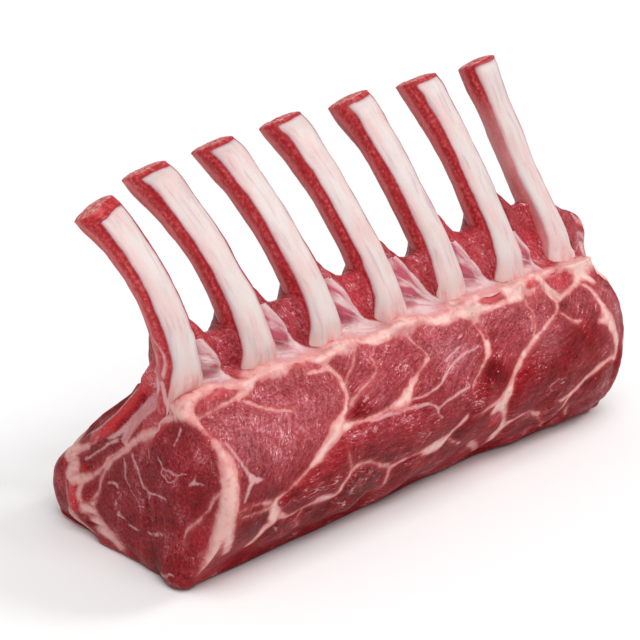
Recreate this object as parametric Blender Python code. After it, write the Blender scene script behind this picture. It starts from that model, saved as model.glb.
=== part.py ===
"""Raw rack of lamb: a loaf of loin meat that rests on its flat underside, with seven rib bones
standing out of the ridge along its top.  The loaf runs along X from the near cut end to the far
end, the rounded front of the meat faces -Y, and the ribs curve back over +Y.

Sizes are in millimetres, and MM turns them into Blender's metres.
"""
import math
from collections import namedtuple

import bmesh
import bpy
from mathutils import Vector

MM = 0.001

# --- the loaf, lengthways --------------------------------------------------------------------
NEAR_END = -100.0        # plane of the near cut, at the height of the ridge
FAR_END = 97.0           # crown of the far end
CUT_LEAN = 3.5           # the near cut stands this much further out at its foot than at the ridge
CUT_LEAN_LENGTH = 20.0   # and this lean fades out over this length
CUT_RIM = 4.0            # rounding of the near cut's edge
FAR_ROUNDING = 26.0      # length over which the far end closes
FAR_SQUARENESS = 3.0     # exponent of that closing curve: 2 is an ellipse, more is squarer
FAR_FOOT, FAR_HEAD = 0.5, 0.45  # powers below 1: the foot and top close later than the sides
FAR_TAPER = 0.12         # share by which the front reaches out less at the far end
TAPER_START = 20.0       # X where that taper begins

# --- the loaf's cross-section ----------------------------------------------------------------
# (y, z) of its landmarks: from the front heel up the front face to the ridge, then, past the
# wall of meat between the ribs, down the back.  wall() adds the wall's own landmarks.
SECTION_CENTRE = (-8.0, 33.0)
SECTION_RADIUS = 40.0    # typical distance of the surface from that centre
FRONT = [(-21.5, 0.0), (-32.0, 5.0), (-42.0, 17.0), (-47.0, 31.0), (-45.5, 44.0), (-37.0, 52.0),
         (-25.0, 56.0)]
BACK = [(-5.0, 60.0), (3.0, 53.0), (13.0, 45.0), (24.0, 36.0), (34.0, 26.0), (41.0, 14.5),
        (39.0, 4.5), (31.0, 0.0)]
RIDGE_HEIGHT = 56.0      # where the ribs leave the meat
BACK_PULL = 2.0          # the back stands in this much at the near cut
# how far the front heel stands back, at places along X
HEEL_SETBACK = [(-85.0, -0.6), (-25.0, 1.8), (5.0, 3.2), (25.0, 3.8), (55.0, 0.6), (85.0, 0.0)]

# --- the wall of meat between the ribs -------------------------------------------------------
GAP_HEIGHTS = [71.0, 74.5, 75.5, 75.5, 78.0, 79.0]  # its lowest height in each gap
NEAR_WALL, FAR_WALL = 68.0, 76.5                    # its height before and after the ribs
WALL_RISE = 16.0         # it climbs beside each rib
WALL_LIMIT = 9.0         # by no more than this, behind the rib itself
WALL_STEEPNESS = (2.0, 6.0)  # powers of that climb, before and after the middle of the gap
WALL_SKEW = 1.25         # it is lowest past the middle of the gap
WALL_SHIFT = -2.5        # the ribs lean, so at this height they stand this far along
WALL_LEAN = 0.42         # it leans back this much for each millimetre of height

# --- the ribs --------------------------------------------------------------------------------
FIRST_RIB = -94.0        # X of the first rib where it leaves the ridge
RIB_PITCH = 28.5
RIDGE_Y = -17.8          # Y of the ribs' middle line at the ridge
RIB_LEAN = -8.0          # how far each tip stands towards the near end
ROOT_DEPTH = 15.0        # length of each rib that sits inside the meat
ROOT_CURVE = 0.012       # and this part bends back, by this much times its length squared
SOCKET_GAP = 0.3         # clearance between a rib and the meat around it

# reach: how far back the tip stands.  height: of the tip.  bow: how far the middle of the rib
# stands forward of a straight one.  roll: degrees by which the cut tip faces the near end.
RibShape = namedtuple("RibShape", "reach height bow roll girth")
RIB_SHAPES = [
    RibShape(9.5, 107.5, 9.5, 16.0, 0.92),
    RibShape(21.5, 111.3, 8.6, 4.0, 1.00),
    RibShape(23.5, 113.8, 7.0, 3.0, 1.00),
    RibShape(23.5, 116.8, 5.8, 3.0, 1.00),
    RibShape(21.5, 119.3, 5.0, 6.0, 1.00),
    RibShape(18.0, 121.8, 4.6, 0.0, 1.03),
    RibShape(16.5, 124.0, 0.0, 4.0, 0.94),
]
RIBS = len(RIB_SHAPES)
BOW_RISE = 0.35          # a bow also lifts the middle, by this share of it

# place from root to tip, width along X and thickness across it
RIB_SECTIONS = [
    (0.00, 8.0, 8.0),
    (0.20, 13.0, 12.5),
    (0.36, 12.6, 11.4),
    (0.60, 12.2, 9.8),
    (0.82, 12.6, 10.2),
    (0.96, 14.0, 12.2),
    (1.00, 13.8, 12.0),
]
RIB_SQUARENESS = 2.6     # exponent of the sections: 2 is an ellipse, more is squarer
CUT_TILT = 22.0          # degrees by which a rib's cut tip faces back from straight up
CUT_BLEND = 0.80         # from here on the sections turn from square across the rib to the cut

# --- fineness of the meshes ------------------------------------------------------------------
POINTS_PER_SPAN = 2      # ring points from one landmark to the next
RINGS_PER_PITCH = 8      # rings of the loaf from rib to rib
FACE_RINGS = (0.35, 0.7)  # rings on the near cut, as shares of its size
RIM_RINGS = 4            # rings round the near cut's edge
FAR_RINGS = 11           # rings over the far end
RIB_SIDES = 16
RIB_RINGS = 13
SHARP_ANGLE = 50.0       # degrees


def smooth(t):
    """Ease from 0 to 1 as t goes from 0 to 1."""
    t = min(1.0, max(0.0, t))
    return t * t * (3.0 - 2.0 * t)


def table(rows, place):
    """Read rows of (place, value, ...) at a place, easing from row to row."""
    if place <= rows[0][0]:
        return rows[0][1:]
    for low, high in zip(rows, rows[1:]):
        if place <= high[0]:
            t = smooth((place - low[0]) / (high[0] - low[0]))
            return tuple(a + (b - a) * t for a, b in zip(low[1:], high[1:]))
    return rows[-1][1:]


def spline(points, per_span):
    """A closed Catmull-Rom curve through the points, with its last span left straight."""
    count = len(points)
    curve = []
    for i in range(count):
        corners = [points[(i + k) % count] for k in (-1, 0, 1, 2)]
        for step in range(per_span):
            t = step / per_span
            if i == count - 1:
                curve.append(tuple(b + (c - b) * t for _, b, c, _ in zip(*corners)))
            else:
                curve.append(tuple(catmull_rom(*values, t) for values in zip(*corners)))
    return curve


def catmull_rom(a, b, c, d, t):
    bend = (2 * a - 5 * b + 4 * c - d) * t * t
    twist = (3 * b - a - 3 * c + d) * t * t * t
    return 0.5 * (2 * b + (c - a) * t + bend + twist)


# --- the loaf --------------------------------------------------------------------------------
def wall_height(x):
    """Height of the wall's crest: low in each gap, climbing beside each rib."""
    place = (x - FIRST_RIB - WALL_SHIFT) / RIB_PITCH
    gap = math.floor(place)
    if gap < 0:
        return NEAR_WALL
    if gap >= RIBS - 1:
        past = place - (RIBS - 1)
        return FAR_WALL + min(WALL_LIMIT, WALL_RISE * max(0.0, 1.0 - 2.0 * past) ** 3)
    across = (place - gap) ** WALL_SKEW
    steepness = WALL_STEEPNESS[0] if across < 0.5 else WALL_STEEPNESS[1]
    climb = WALL_RISE * abs(2.0 * across - 1.0) ** steepness
    return GAP_HEIGHTS[gap] + min(WALL_LIMIT, climb)


def wall(x):
    """The wall's landmarks, from its front foot over its crest to its back."""
    rise = wall_height(x) - RIDGE_HEIGHT
    lean = WALL_LEAN * rise
    return [
        (-19.5 + 0.25 * lean, RIDGE_HEIGHT + 0.3 * rise),
        (-20.0 + 0.75 * lean, RIDGE_HEIGHT + 0.8 * rise),
        (-19.0 + lean, RIDGE_HEIGHT + rise),
        (-13.0 + lean, RIDGE_HEIGHT + rise - 3.0),
    ]


def front(x):
    """The front landmarks: the heel wanders, and the face draws in towards the far end."""
    middle = SECTION_CENTRE[0]
    taper = FAR_TAPER * smooth((x - TAPER_START) / (FAR_END - TAPER_START))
    setback = table(HEEL_SETBACK, x)[0]
    landmarks = []
    for y, z in FRONT:
        reach = 1.0 - taper * smooth(2.0 * z / RIDGE_HEIGHT)
        landmarks.append((middle + (y - middle) * reach + setback * (1.0 - z / RIDGE_HEIGHT), z))
    return landmarks


def back(x):
    """The back landmarks, drawn in a little at the near cut."""
    pull = BACK_PULL * (1.0 - smooth((x - NEAR_END) / (3.0 * CUT_RIM)))
    return [(y - pull, z - pull * smooth(z / 10.0 - 2.0)) for y, z in BACK]


def section(x):
    """The loaf's outline across X, in (y, z)."""
    return spline(front(x) + wall(x) + back(x), POINTS_PER_SPAN)


def ring(x, scale, foot=1.0, head=1.0):
    """The outline at x drawn in towards the section's centre, its foot and head by powers."""
    middle_y, middle_z = SECTION_CENTRE
    points = []
    for y, z in section(max(x, NEAR_END)):
        rise = scale ** (foot if z < middle_z else head)
        points.append(lean_cut(x, middle_y + (y - middle_y) * scale, middle_z + (z - middle_z) * rise))
    return points


def lean_cut(x, y, z):
    """A point of the loaf, with the near cut pushed out towards its foot."""
    reach = smooth((NEAR_END + CUT_LEAN_LENGTH - x) / CUT_LEAN_LENGTH)
    return (x - CUT_LEAN * reach * (1.0 - z / RIDGE_HEIGHT), y, max(0.0, z))


def loaf_rings():
    """Closed rings from the middle of the near cut to the crown of the far end."""
    rings = [ring(NEAR_END, share) for share in FACE_RINGS]
    for step in range(RIM_RINGS):
        angle = 0.5 * math.pi * step / RIM_RINGS
        inset = CUT_RIM * (1.0 - math.sin(angle)) / SECTION_RADIUS
        rings.append(ring(NEAR_END + CUT_RIM * (1.0 - math.cos(angle)), 1.0 - inset, foot=0.4))

    spacing = RIB_PITCH / RINGS_PER_PITCH
    body_start = NEAR_END + CUT_RIM
    body_end = FAR_END - FAR_ROUNDING
    for step in range(round((body_end - body_start) / spacing)):
        rings.append(ring(body_start + step * spacing, 1.0))

    for step in range(FAR_RINGS):
        angle = 0.5 * math.pi * step / FAR_RINGS
        along = math.sin(angle) ** (2.0 / FAR_SQUARENESS)
        scale = math.cos(angle) ** (2.0 / FAR_SQUARENESS)
        rings.append(ring(body_end + FAR_ROUNDING * along, scale, FAR_FOOT, FAR_HEAD))
    return rings


# --- the ribs --------------------------------------------------------------------------------
def rib_middle(number, t):
    """Middle line of a rib, from its root at 0 to its cut tip at 1."""
    shape = RIB_SHAPES[number]
    base = Vector((FIRST_RIB + number * RIB_PITCH, RIDGE_Y, RIDGE_HEIGHT))
    tip = Vector((base.x + RIB_LEAN, shape.reach, shape.height))
    control = (base + tip) / 2.0 + Vector((0.0, -2.0, 2.0 * BOW_RISE)) * shape.bow
    leaving = ROOT_DEPTH / (ROOT_DEPTH + (tip - base).length)
    if t < leaving:
        depth = ROOT_DEPTH * (leaving - t) / leaving
        return base + (base - control).normalized() * depth + Vector((0.0, ROOT_CURVE * depth * depth, 0.0))
    s = (t - leaving) / (1.0 - leaving)
    return base * (1.0 - s) ** 2 + control * (2.0 * s * (1.0 - s)) + tip * s * s


def rib_direction(number, t):
    """The way a rib's sections face: along it, and near its tip the way the tip is cut."""
    step = 0.02
    ahead = rib_middle(number, min(1.0, t + step))
    behind = rib_middle(number, max(0.0, t - step))
    tilt = math.radians(CUT_TILT)
    roll = math.radians(RIB_SHAPES[number].roll)
    cut = Vector((-math.sin(roll), math.cos(roll) * math.sin(tilt), math.cos(roll) * math.cos(tilt)))
    return (ahead - behind).normalized().lerp(cut, smooth((t - CUT_BLEND) / (1.0 - CUT_BLEND))).normalized()


def rib_ring(number, t, grow):
    """One section of a rib: a squarish oval, widened by grow."""
    facing = rib_direction(number, t)
    side = Vector((1.0, 0.0, 0.0))
    side = (side - facing * side.dot(facing)).normalized()
    across = facing.cross(side)
    width, depth = (RIB_SHAPES[number].girth * size for size in table(RIB_SECTIONS, t))
    points = []
    for i in range(RIB_SIDES):
        angle = 2.0 * math.pi * i / RIB_SIDES
        c, s = math.cos(angle), math.sin(angle)
        reach = (abs(c) ** RIB_SQUARENESS + abs(s) ** RIB_SQUARENESS) ** (-1.0 / RIB_SQUARENESS)
        points.append(rib_middle(number, t) + side * (c * reach * (width / 2 + grow))
                      + across * (s * reach * (depth / 2 + grow)))
    return points


def rib_mesh(number, grow=0.0):
    rings = [rib_ring(number, step / (RIB_RINGS - 1), grow) for step in range(RIB_RINGS)]
    root = rib_middle(number, 0.0) - rib_direction(number, 0.0) * grow
    return loft(rings, root, rib_middle(number, 1.0))


# --- objects ---------------------------------------------------------------------------------
def loft(rings, first_tip, last_tip):
    """A closed mesh through the rings, drawn to a point at each end."""
    mesh = bmesh.new()
    loops = [[mesh.verts.new(Vector(point) * MM) for point in points] for points in rings]
    count = len(loops[0])
    for near, far in zip(loops, loops[1:]):
        for i in range(count):
            j = (i + 1) % count
            mesh.faces.new((near[i], near[j], far[j], far[i]))
    for tip, loop in ((first_tip, loops[0]), (last_tip, loops[-1])):
        middle = mesh.verts.new(Vector(tip) * MM)
        for i in range(count):
            mesh.faces.new((middle, loop[i], loop[(i + 1) % count]))
    bmesh.ops.recalc_face_normals(mesh, faces=mesh.faces)
    return mesh


def add_object(name, mesh, collection, material=None):
    data = bpy.data.meshes.new(name)
    mesh.to_mesh(data)
    mesh.free()
    data.shade_smooth()
    data.set_sharp_from_angle(angle=math.radians(SHARP_ANGLE))
    if material:
        data.materials.append(material)
    thing = bpy.data.objects.new(name, data)
    collection.objects.link(thing)
    return thing


def make_material(name, colour, roughness):
    material = bpy.data.materials.new(name)
    material.use_nodes = True
    shader = material.node_tree.nodes["Principled BSDF"]
    shader.inputs["Base Color"].default_value = (*colour, 1.0)
    shader.inputs["Roughness"].default_value = roughness
    shader.inputs["Metallic"].default_value = 0.0
    return material


def add_meat(collection):
    """The loaf, before the ribs' sockets are cut."""
    middle_y, middle_z = SECTION_CENTRE
    mesh = loft(loaf_rings(), lean_cut(NEAR_END, middle_y, middle_z), (FAR_END, middle_y, middle_z))
    return add_object("meat", mesh, collection, make_material("raw_meat", (0.36, 0.035, 0.045), 0.4))


def add_rib(number, meat, parts, cutters):
    """A rib, and the blind socket that it stands in."""
    label = str(number + 1)
    bone = make_material("rib_bone_" + label, (0.82, 0.70, 0.64), 0.45)
    add_object("rib_" + label, rib_mesh(number), parts, bone)

    cutter = add_object("socket_" + label, rib_mesh(number, SOCKET_GAP), cutters)
    cutter.hide_render = True
    cutter.display_type = "WIRE"
    socket = meat.modifiers.new("socket_" + label, "BOOLEAN")
    socket.operation = "DIFFERENCE"
    socket.solver = "EXACT"
    socket.object = cutter


def stand_on_origin(parts, cutters):
    """Carry everything on an empty that puts the middle of the footprint box at the origin."""
    corners = [vertex.co for thing in parts.objects for vertex in thing.data.vertices]
    middle = [(min(c[axis] for c in corners) + max(c[axis] for c in corners)) / 2.0 for axis in (0, 1)]
    stand = bpy.data.objects.new("stand", None)
    stand.location = (-middle[0], -middle[1], 0.0)
    for thing in list(parts.objects) + list(cutters.objects):
        thing.parent = stand
    parts.objects.link(stand)


def build():
    for thing in list(bpy.data.objects):
        bpy.data.objects.remove(thing)

    parts = bpy.data.collections.new("rack_of_lamb")
    cutters = bpy.data.collections.new("cutters")
    for collection in (parts, cutters):
        bpy.context.scene.collection.children.link(collection)

    meat = add_meat(parts)
    for number in range(RIBS):
        add_rib(number, meat, parts, cutters)
    stand_on_origin(parts, cutters)


build()
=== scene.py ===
"""The looks of a raw rack of lamb: wet muscle with fat seams and membranes, and scraped rib bones.

The loaf and the ribs follow the same sections as the CAD solids that they replace, in millimetres,
and to_frame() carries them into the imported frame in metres.  Where a colour or a fold lies is drawn
with strokes: on the sides in the flat map (x, u), u being the distance down the front from the
ridge that the ribs leave, and on the near cut face in (y, z).
"""
import itertools
import math

import bpy
import numpy as np
from mathutils import Matrix, Vector


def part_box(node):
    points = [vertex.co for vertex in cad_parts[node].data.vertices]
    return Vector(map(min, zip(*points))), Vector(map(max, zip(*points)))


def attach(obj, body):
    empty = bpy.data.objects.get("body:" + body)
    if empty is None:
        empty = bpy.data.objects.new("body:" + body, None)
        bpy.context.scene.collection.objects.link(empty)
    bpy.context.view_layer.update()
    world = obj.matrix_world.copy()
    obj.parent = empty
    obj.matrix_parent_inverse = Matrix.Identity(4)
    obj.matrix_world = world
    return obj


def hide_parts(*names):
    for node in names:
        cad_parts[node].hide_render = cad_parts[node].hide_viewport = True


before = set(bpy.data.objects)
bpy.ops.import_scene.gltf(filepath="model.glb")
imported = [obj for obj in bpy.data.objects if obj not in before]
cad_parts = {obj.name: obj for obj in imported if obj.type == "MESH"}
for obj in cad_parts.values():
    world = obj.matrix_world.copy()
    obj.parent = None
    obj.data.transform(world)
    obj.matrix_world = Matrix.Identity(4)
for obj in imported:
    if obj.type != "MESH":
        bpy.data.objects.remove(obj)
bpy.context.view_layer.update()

MM = 0.001

# --- the loaf, as in the CAD model (mm) --------------------------------------------------------
NEAR_END, FAR_END = -100.0, 97.0
CUT_LEAN, CUT_LEAN_LENGTH, CUT_RIM = 3.5, 20.0, 4.0
FAR_ROUNDING, FAR_SQUARENESS = 26.0, 3.0
FAR_FOOT, FAR_HEAD = 0.30, 0.40
# how far the far end stands out at each height: rows of (z, mm)
FAR_PROFILE = [(0.0, 2.8), (14.0, 2.0), (30.0, 0.0), (48.0, -1.6), (56.0, 0.2), (64.0, 2.4), (76.0, 0.6)]
FAR_TAPER, TAPER_START = 0.12, 20.0
SECTION_CENTRE = (-8.0, 33.0)
SECTION_RADIUS = 40.0
FRONT = [(-21.5, 0.0), (-32.0, 5.0), (-42.0, 17.0), (-47.0, 31.0), (-45.5, 44.0), (-37.0, 52.0),
         (-25.0, 56.0)]
BACK = [(-5.0, 60.0), (3.0, 53.0), (13.0, 45.0), (24.0, 36.0), (34.0, 26.0), (41.0, 14.5),
        (39.0, 4.5), (31.0, 0.0)]
RIDGE_HEIGHT = 56.0
BACK_PULL = 2.0
HEEL_SETBACK = [(-88.0, -1.6), (-55.0, -0.4), (-25.0, 1.0), (5.0, 3.0), (25.0, 3.8), (55.0, 0.6), (85.0, 0.0)]
GAP_HEIGHTS = [70.5, 73.0, 74.0, 74.0, 76.0, 78.5]
NEAR_WALL, FAR_WALL = 61.0, 76.5
NEAR_FALL, CREST_BLUR = 4.0, 1.6
WALL_RISE, WALL_LIMIT, WALL_STEEPNESS = 16.0, 9.0, (2.0, 7.0)
FAR_DROP = 6.0
WALL_SKEW, WALL_SHIFT, WALL_LEAN = 1.25, -2.5, 0.42

SUNK, GROOVE = 1.1, 2.3  # how far the front muscles lie inside the CAD's front, and the seams inside them, mm
AZIMUTH, ELEVATION = 43.5, 20.0  # of the camera, degrees
VIEW = np.array([math.sin(math.radians(AZIMUTH)) * math.cos(math.radians(ELEVATION)),
                 math.cos(math.radians(AZIMUTH)) * math.cos(math.radians(ELEVATION)), -math.sin(math.radians(ELEVATION))])

# --- the ribs, as in the CAD model -------------------------------------------------------------
FIRST_RIB, RIB_PITCH = -94.0, 28.5
RIDGE_Y = -17.8
RIB_LEAN = -8.0
ROOT_DEPTH, ROOT_CURVE = 15.0, 0.012
BOW_RISE = 0.35
# reach, height, bow, roll of the cut in degrees, girth
RIB_SHAPES = [
    (9.5, 107.5, 9.5, 16.0, 0.92),
    (21.5, 111.3, 8.6, 4.0, 1.00),
    (23.5, 113.8, 7.0, 3.0, 1.00),
    (23.5, 116.8, 5.8, 3.0, 1.00),
    (21.5, 119.3, 5.0, 6.0, 1.00),
    (18.0, 121.8, 4.6, 0.0, 1.03),
    (16.5, 124.0, 0.0, 4.0, 0.94),
]
RIBS = len(RIB_SHAPES)
RIB_SECTIONS = [
    (0.00, 14.0, 7.0),
    (0.19, 14.0, 8.6),
    (0.28, 13.4, 11.6),
    (0.36, 12.8, 11.4),
    (0.60, 13.0, 9.8),
    (0.82, 13.6, 10.2),
    (0.96, 14.8, 12.0),
    (1.00, 14.4, 11.6),
]
RIB_SQUARENESS = 2.6
# the cuts lean back less and sideways more than in the CAD model, so that they show as in the photo
CUT_TILT, MORE_ROLL, CUT_BLEND = 20.0, 8.0, 0.88
LEFT_SHIFT = 0.8  # how far the upper halves of all ribs but the first stand more to the left, mm
BASE_FLARE, FLARE_END = 0.9, 0.38
COLLARS = [4.0, 1.2, 1.0, 0.8, 1.2, 1.2, 0.8]  # red flesh left round each tip, mm

# --- fineness of the meshes --------------------------------------------------------------------
# ring points from one landmark of the section to the next, from the front heel round
SPAN_POINTS = [18, 26, 25, 22, 20, 21, 10, 20, 10, 8, 12, 6, 6, 6, 6, 6, 6, 6, 10]
RIDGE_COLUMN = sum(SPAN_POINTS[:6])
CREST_COLUMN = sum(SPAN_POINTS[:9])
BODY_SPACING = 0.7
CAP_RINGS, RIM_RINGS, FAR_RINGS = 75, 8, 60
RIB_SIDES, RIB_RINGS, TIP_RINGS = 48, 120, 10


# --- small numeric helpers ---------------------------------------------------------------------
def smooth(t):
    """Ease from 0 to 1 as t goes from 0 to 1."""
    t = np.clip(t, 0.0, 1.0)
    return t * t * (3.0 - 2.0 * t)


def bump(distance, width):
    """1 at distance 0, fading out over about the width."""
    return np.exp(-(distance / width) ** 2)


def read_table(rows, place):
    """Read rows of (place, value, ...) at places, easing from row to row."""
    rows = np.array(rows, float)
    place = np.clip(np.asarray(place, float), rows[0, 0], rows[-1, 0])
    low = np.clip(np.searchsorted(rows[:, 0], place, side="right") - 1, 0, len(rows) - 2)
    t = smooth((place - rows[low, 0]) / (rows[low + 1, 0] - rows[low, 0]))
    values = rows[:, 1:]
    return values[low] + (values[low + 1] - values[low]) * t[..., None]


def noise(points, size, seed=0):
    """Smooth random values from -1 to 1 that change over distances of about the size."""
    place = np.asarray(points, float) / size
    cell = np.floor(place).astype(np.int64)
    part = smooth(place - cell)
    total = np.zeros(place.shape[:-1])
    for corner in itertools.product((0, 1), repeat=3):
        at = cell + np.array(corner)
        mixed = at[..., 0] * 374761393 + at[..., 1] * 668265263 + at[..., 2] * 2147483647 + seed * 974634777
        mixed = (mixed ^ (mixed >> 13)) * 1274126177
        mixed = (mixed ^ (mixed >> 16)) & 0xFFFF
        weight = np.prod(np.where(np.array(corner) == 1, part, 1.0 - part), axis=-1)
        total += (mixed / 32767.5 - 1.0) * weight
    return total


def layered_noise(points, size, seed=0, layers=3):
    return sum(noise(points, size / 2 ** k, seed + k) / 2 ** k for k in range(layers))


def catmull_rom(points, per_span):
    """An open smooth curve through rows of values."""
    points = np.array(points, float)
    ends = np.vstack([2 * points[0] - points[1], points, 2 * points[-1] - points[-2]])
    curve = []
    for a, b, c, d in zip(ends, ends[1:], ends[2:], ends[3:]):
        for step in range(per_span):
            t = step / per_span
            bend = (2 * a - 5 * b + 4 * c - d) * t * t
            twist = (3 * b - a - 3 * c + d) * t ** 3
            curve.append(0.5 * (2 * b + (c - a) * t + bend + twist))
    curve.append(points[-1])
    return np.array(curve)


def stroke_depth(across, along, strokes):
    """How far inside the nearest stroke each place lies (mm), negative outside.

    A stroke is a list of (across, along, half width)."""
    best = np.full(across.shape, -50.0)
    for stroke in strokes:
        curve = catmull_rom(stroke, 4)
        low = curve[:, :2].min(0) - 12.0
        high = curve[:, :2].max(0) + 12.0
        near = np.nonzero((across > low[0]) & (across < high[0]) & (along > low[1]) & (along < high[1]))
        a, b = across[near], along[near]
        depth = best[near]
        for start, end in zip(curve, curve[1:]):
            run = end[:2] - start[:2]
            t = np.clip(((a - start[0]) * run[0] + (b - start[1]) * run[1]) / (run @ run + 1e-9), 0.0, 1.0)
            away = np.hypot(a - start[0] - run[0] * t, b - start[1] - run[1] * t)
            depth = np.maximum(depth, start[2] + (end[2] - start[2]) * t - away)
        best[near] = depth
    return best


# --- the loaf's form ---------------------------------------------------------------------------
def crest_height(x):
    """Height of the wall's crest before it is rounded off."""
    place = (x - FIRST_RIB - WALL_SHIFT) / RIB_PITCH
    gap = math.floor(place)
    if gap < 0:
        return NEAR_WALL + WALL_LIMIT * max(0.0, 1.0 + place * RIB_PITCH / NEAR_FALL)
    if gap >= RIBS - 1:
        past = place - (RIBS - 1)
        return FAR_WALL - FAR_DROP * past + WALL_LIMIT * max(0.0, 1.0 - 2.5 * past) ** 3
    across = (place - gap) ** WALL_SKEW
    steepness = WALL_STEEPNESS[0] if across < 0.5 else WALL_STEEPNESS[1]
    climb = WALL_RISE * abs(2.0 * across - 1.0) ** steepness
    return GAP_HEIGHTS[gap] + min(WALL_LIMIT, climb)


def wall_height(x):
    """Height of the wall's crest: low in each gap, climbing beside each rib."""
    return sum(crest_height(x + step * CREST_BLUR) for step in (-2, -1, 0, 1, 2)) / 5.0


def landmarks(x):
    """The section's landmarks at x: up the front, over the wall and down the back."""
    middle = SECTION_CENTRE[0]
    taper = FAR_TAPER * smooth((x - TAPER_START) / (FAR_END - TAPER_START))
    setback = read_table(HEEL_SETBACK, x)[0]
    points = []
    for y, z in FRONT:
        reach = 1.0 - taper * smooth(2.0 * z / RIDGE_HEIGHT)
        points.append((middle + (y - middle) * reach + setback * (1.0 - z / RIDGE_HEIGHT), z))
    rise = wall_height(x) - RIDGE_HEIGHT
    lean = WALL_LEAN * rise
    points += [
        (-19.5 + 0.25 * lean, RIDGE_HEIGHT + 0.3 * rise),
        (-20.0 + 0.75 * lean, RIDGE_HEIGHT + 0.8 * rise),
        (-19.0 + lean, RIDGE_HEIGHT + rise),
        (-13.0 + lean, RIDGE_HEIGHT + rise - 3.0),
    ]
    pull = BACK_PULL * (1.0 - smooth((x - NEAR_END) / (3.0 * CUT_RIM)))
    points += [(y - pull, z - pull * smooth(z / 10.0 - 2.0)) for y, z in BACK]
    return np.array(points, float)


def section(x):
    """The loaf's outline across X as rows of (y, z)."""
    marks = landmarks(x)
    count = len(marks)
    outline = []
    for i, points in enumerate(SPAN_POINTS):
        a, b, c, d = (marks[(i + k) % count] for k in (-1, 0, 1, 2))
        t = (np.arange(points) / points)[:, None]
        if i == count - 1:
            outline.append(b + (c - b) * t)
        else:
            bend = (2 * a - 5 * b + 4 * c - d) * t * t
            twist = (3 * b - a - 3 * c + d) * t ** 3
            outline.append(0.5 * (2 * b + (c - a) * t + bend + twist))
    return np.concatenate(outline)


def lean_cut(x, y, z):
    """Points of the loaf, with the near cut pushed out towards its foot."""
    reach = smooth((NEAR_END + CUT_LEAN_LENGTH - x) / CUT_LEAN_LENGTH)
    return np.stack([x - CUT_LEAN * reach * (1.0 - z / RIDGE_HEIGHT), y, np.maximum(0.0, z)], -1)


def ring(x, scale, foot=1.0, head=1.0):
    """The outline at x drawn in towards the section's centre, its foot and head by powers."""
    outline = section(max(x, NEAR_END))
    middle = np.array(SECTION_CENTRE)
    away = outline - middle
    rise = np.where(away[:, 1] < 0, scale ** foot, scale ** head)
    return lean_cut(np.full(len(outline), float(x)), middle[0] + away[:, 0] * scale, middle[1] + away[:, 1] * rise)


def loaf_stations():
    """(x, scale, foot, head) of every ring, from the middle of the near cut to the far crown."""
    stations = [(NEAR_END, (step + 0.5) / CAP_RINGS * (1 - CUT_RIM / SECTION_RADIUS), 1.0, 1.0)
                for step in range(CAP_RINGS)]
    for step in range(RIM_RINGS):
        angle = 0.5 * math.pi * step / RIM_RINGS
        inset = CUT_RIM * (1.0 - math.sin(angle)) / SECTION_RADIUS
        stations.append((NEAR_END + CUT_RIM * (1.0 - math.cos(angle)), 1.0 - inset, 0.4 + 0.6 * (step == 0), 1.0))
    start, end = NEAR_END + CUT_RIM, FAR_END - FAR_ROUNDING
    count = round((end - start) / BODY_SPACING)
    stations += [(start + (end - start) * step / count, 1.0, 1.0, 1.0) for step in range(count)]
    for step in range(FAR_RINGS):
        angle = 0.5 * math.pi * step / FAR_RINGS
        along = math.sin(angle) ** (2.0 / FAR_SQUARENESS)
        scale = math.cos(angle) ** (2.0 / FAR_SQUARENESS)
        stations.append((end + FAR_ROUNDING * along, scale, FAR_FOOT, FAR_HEAD))
    return stations


class Loaf:
    """The loaf's grid of points, rows of rings by columns round the section, and its maps."""

    def __init__(self):
        self.stations = loaf_stations()
        self.points = np.array([ring(*station) for station in self.stations])
        reach = np.clip((self.points[..., 0] - FAR_END) / FAR_ROUNDING + 1.0, 0.0, 1.0)
        self.points[..., 0] += np.interp(self.points[..., 2], *np.array(FAR_PROFILE).T) * smooth(reach)
        rows, columns = self.points.shape[:2]
        row = np.arange(rows)[:, None] + np.zeros((rows, columns))
        self.on_cap = smooth((CAP_RINGS + 0.5 * RIM_RINGS - row) / RIM_RINGS + 0.5)
        column = np.arange(columns) + np.zeros((rows, columns))
        # share of the way up the wall's front, from 0 at the ridge to 1 at its crest, -1 elsewhere
        share = (column - RIDGE_COLUMN) / (CREST_COLUMN - RIDGE_COLUMN)
        self.up_wall = np.where((share >= 0.0) & (share < 1.25), share, -1.0)
        self.column = column
        self.x = self.points[..., 0]
        self.u = self.distance_below_ridge()
        crest_u = self.u[:, CREST_COLUMN:CREST_COLUMN + 1]
        self.behind = np.where(column > CREST_COLUMN, crest_u - self.u, 0.0)  # distance down the back from the crest
        self.normals = -grid_normals(self.points)
        flat = np.array([-1.0, 0.0, -CUT_LEAN / RIDGE_HEIGHT]) * self.on_cap[..., None] ** 2
        self.normals = self.normals * (1.0 - self.on_cap[..., None] ** 2) + flat

    def seen_through(self, relief):
        """How far along x and u the smooth surface lies that the camera sees through a raised point."""
        around = np.roll(self.points, 1, axis=1) - np.roll(self.points, -1, axis=1)
        down = around / (np.linalg.norm(around, axis=-1, keepdims=True) + 1e-12)
        facing = -(self.normals @ VIEW)
        reach = relief * smooth(facing / 0.2) / np.maximum(facing, 0.35)
        return reach * VIEW[0], reach * (down @ VIEW)

    def distance_below_ridge(self):
        steps = np.linalg.norm(np.diff(self.points, axis=1), axis=2)
        length = np.concatenate([np.zeros((len(steps), 1)), np.cumsum(steps, axis=1)], axis=1)
        return length[:, RIDGE_COLUMN:RIDGE_COLUMN + 1] - length


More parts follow.
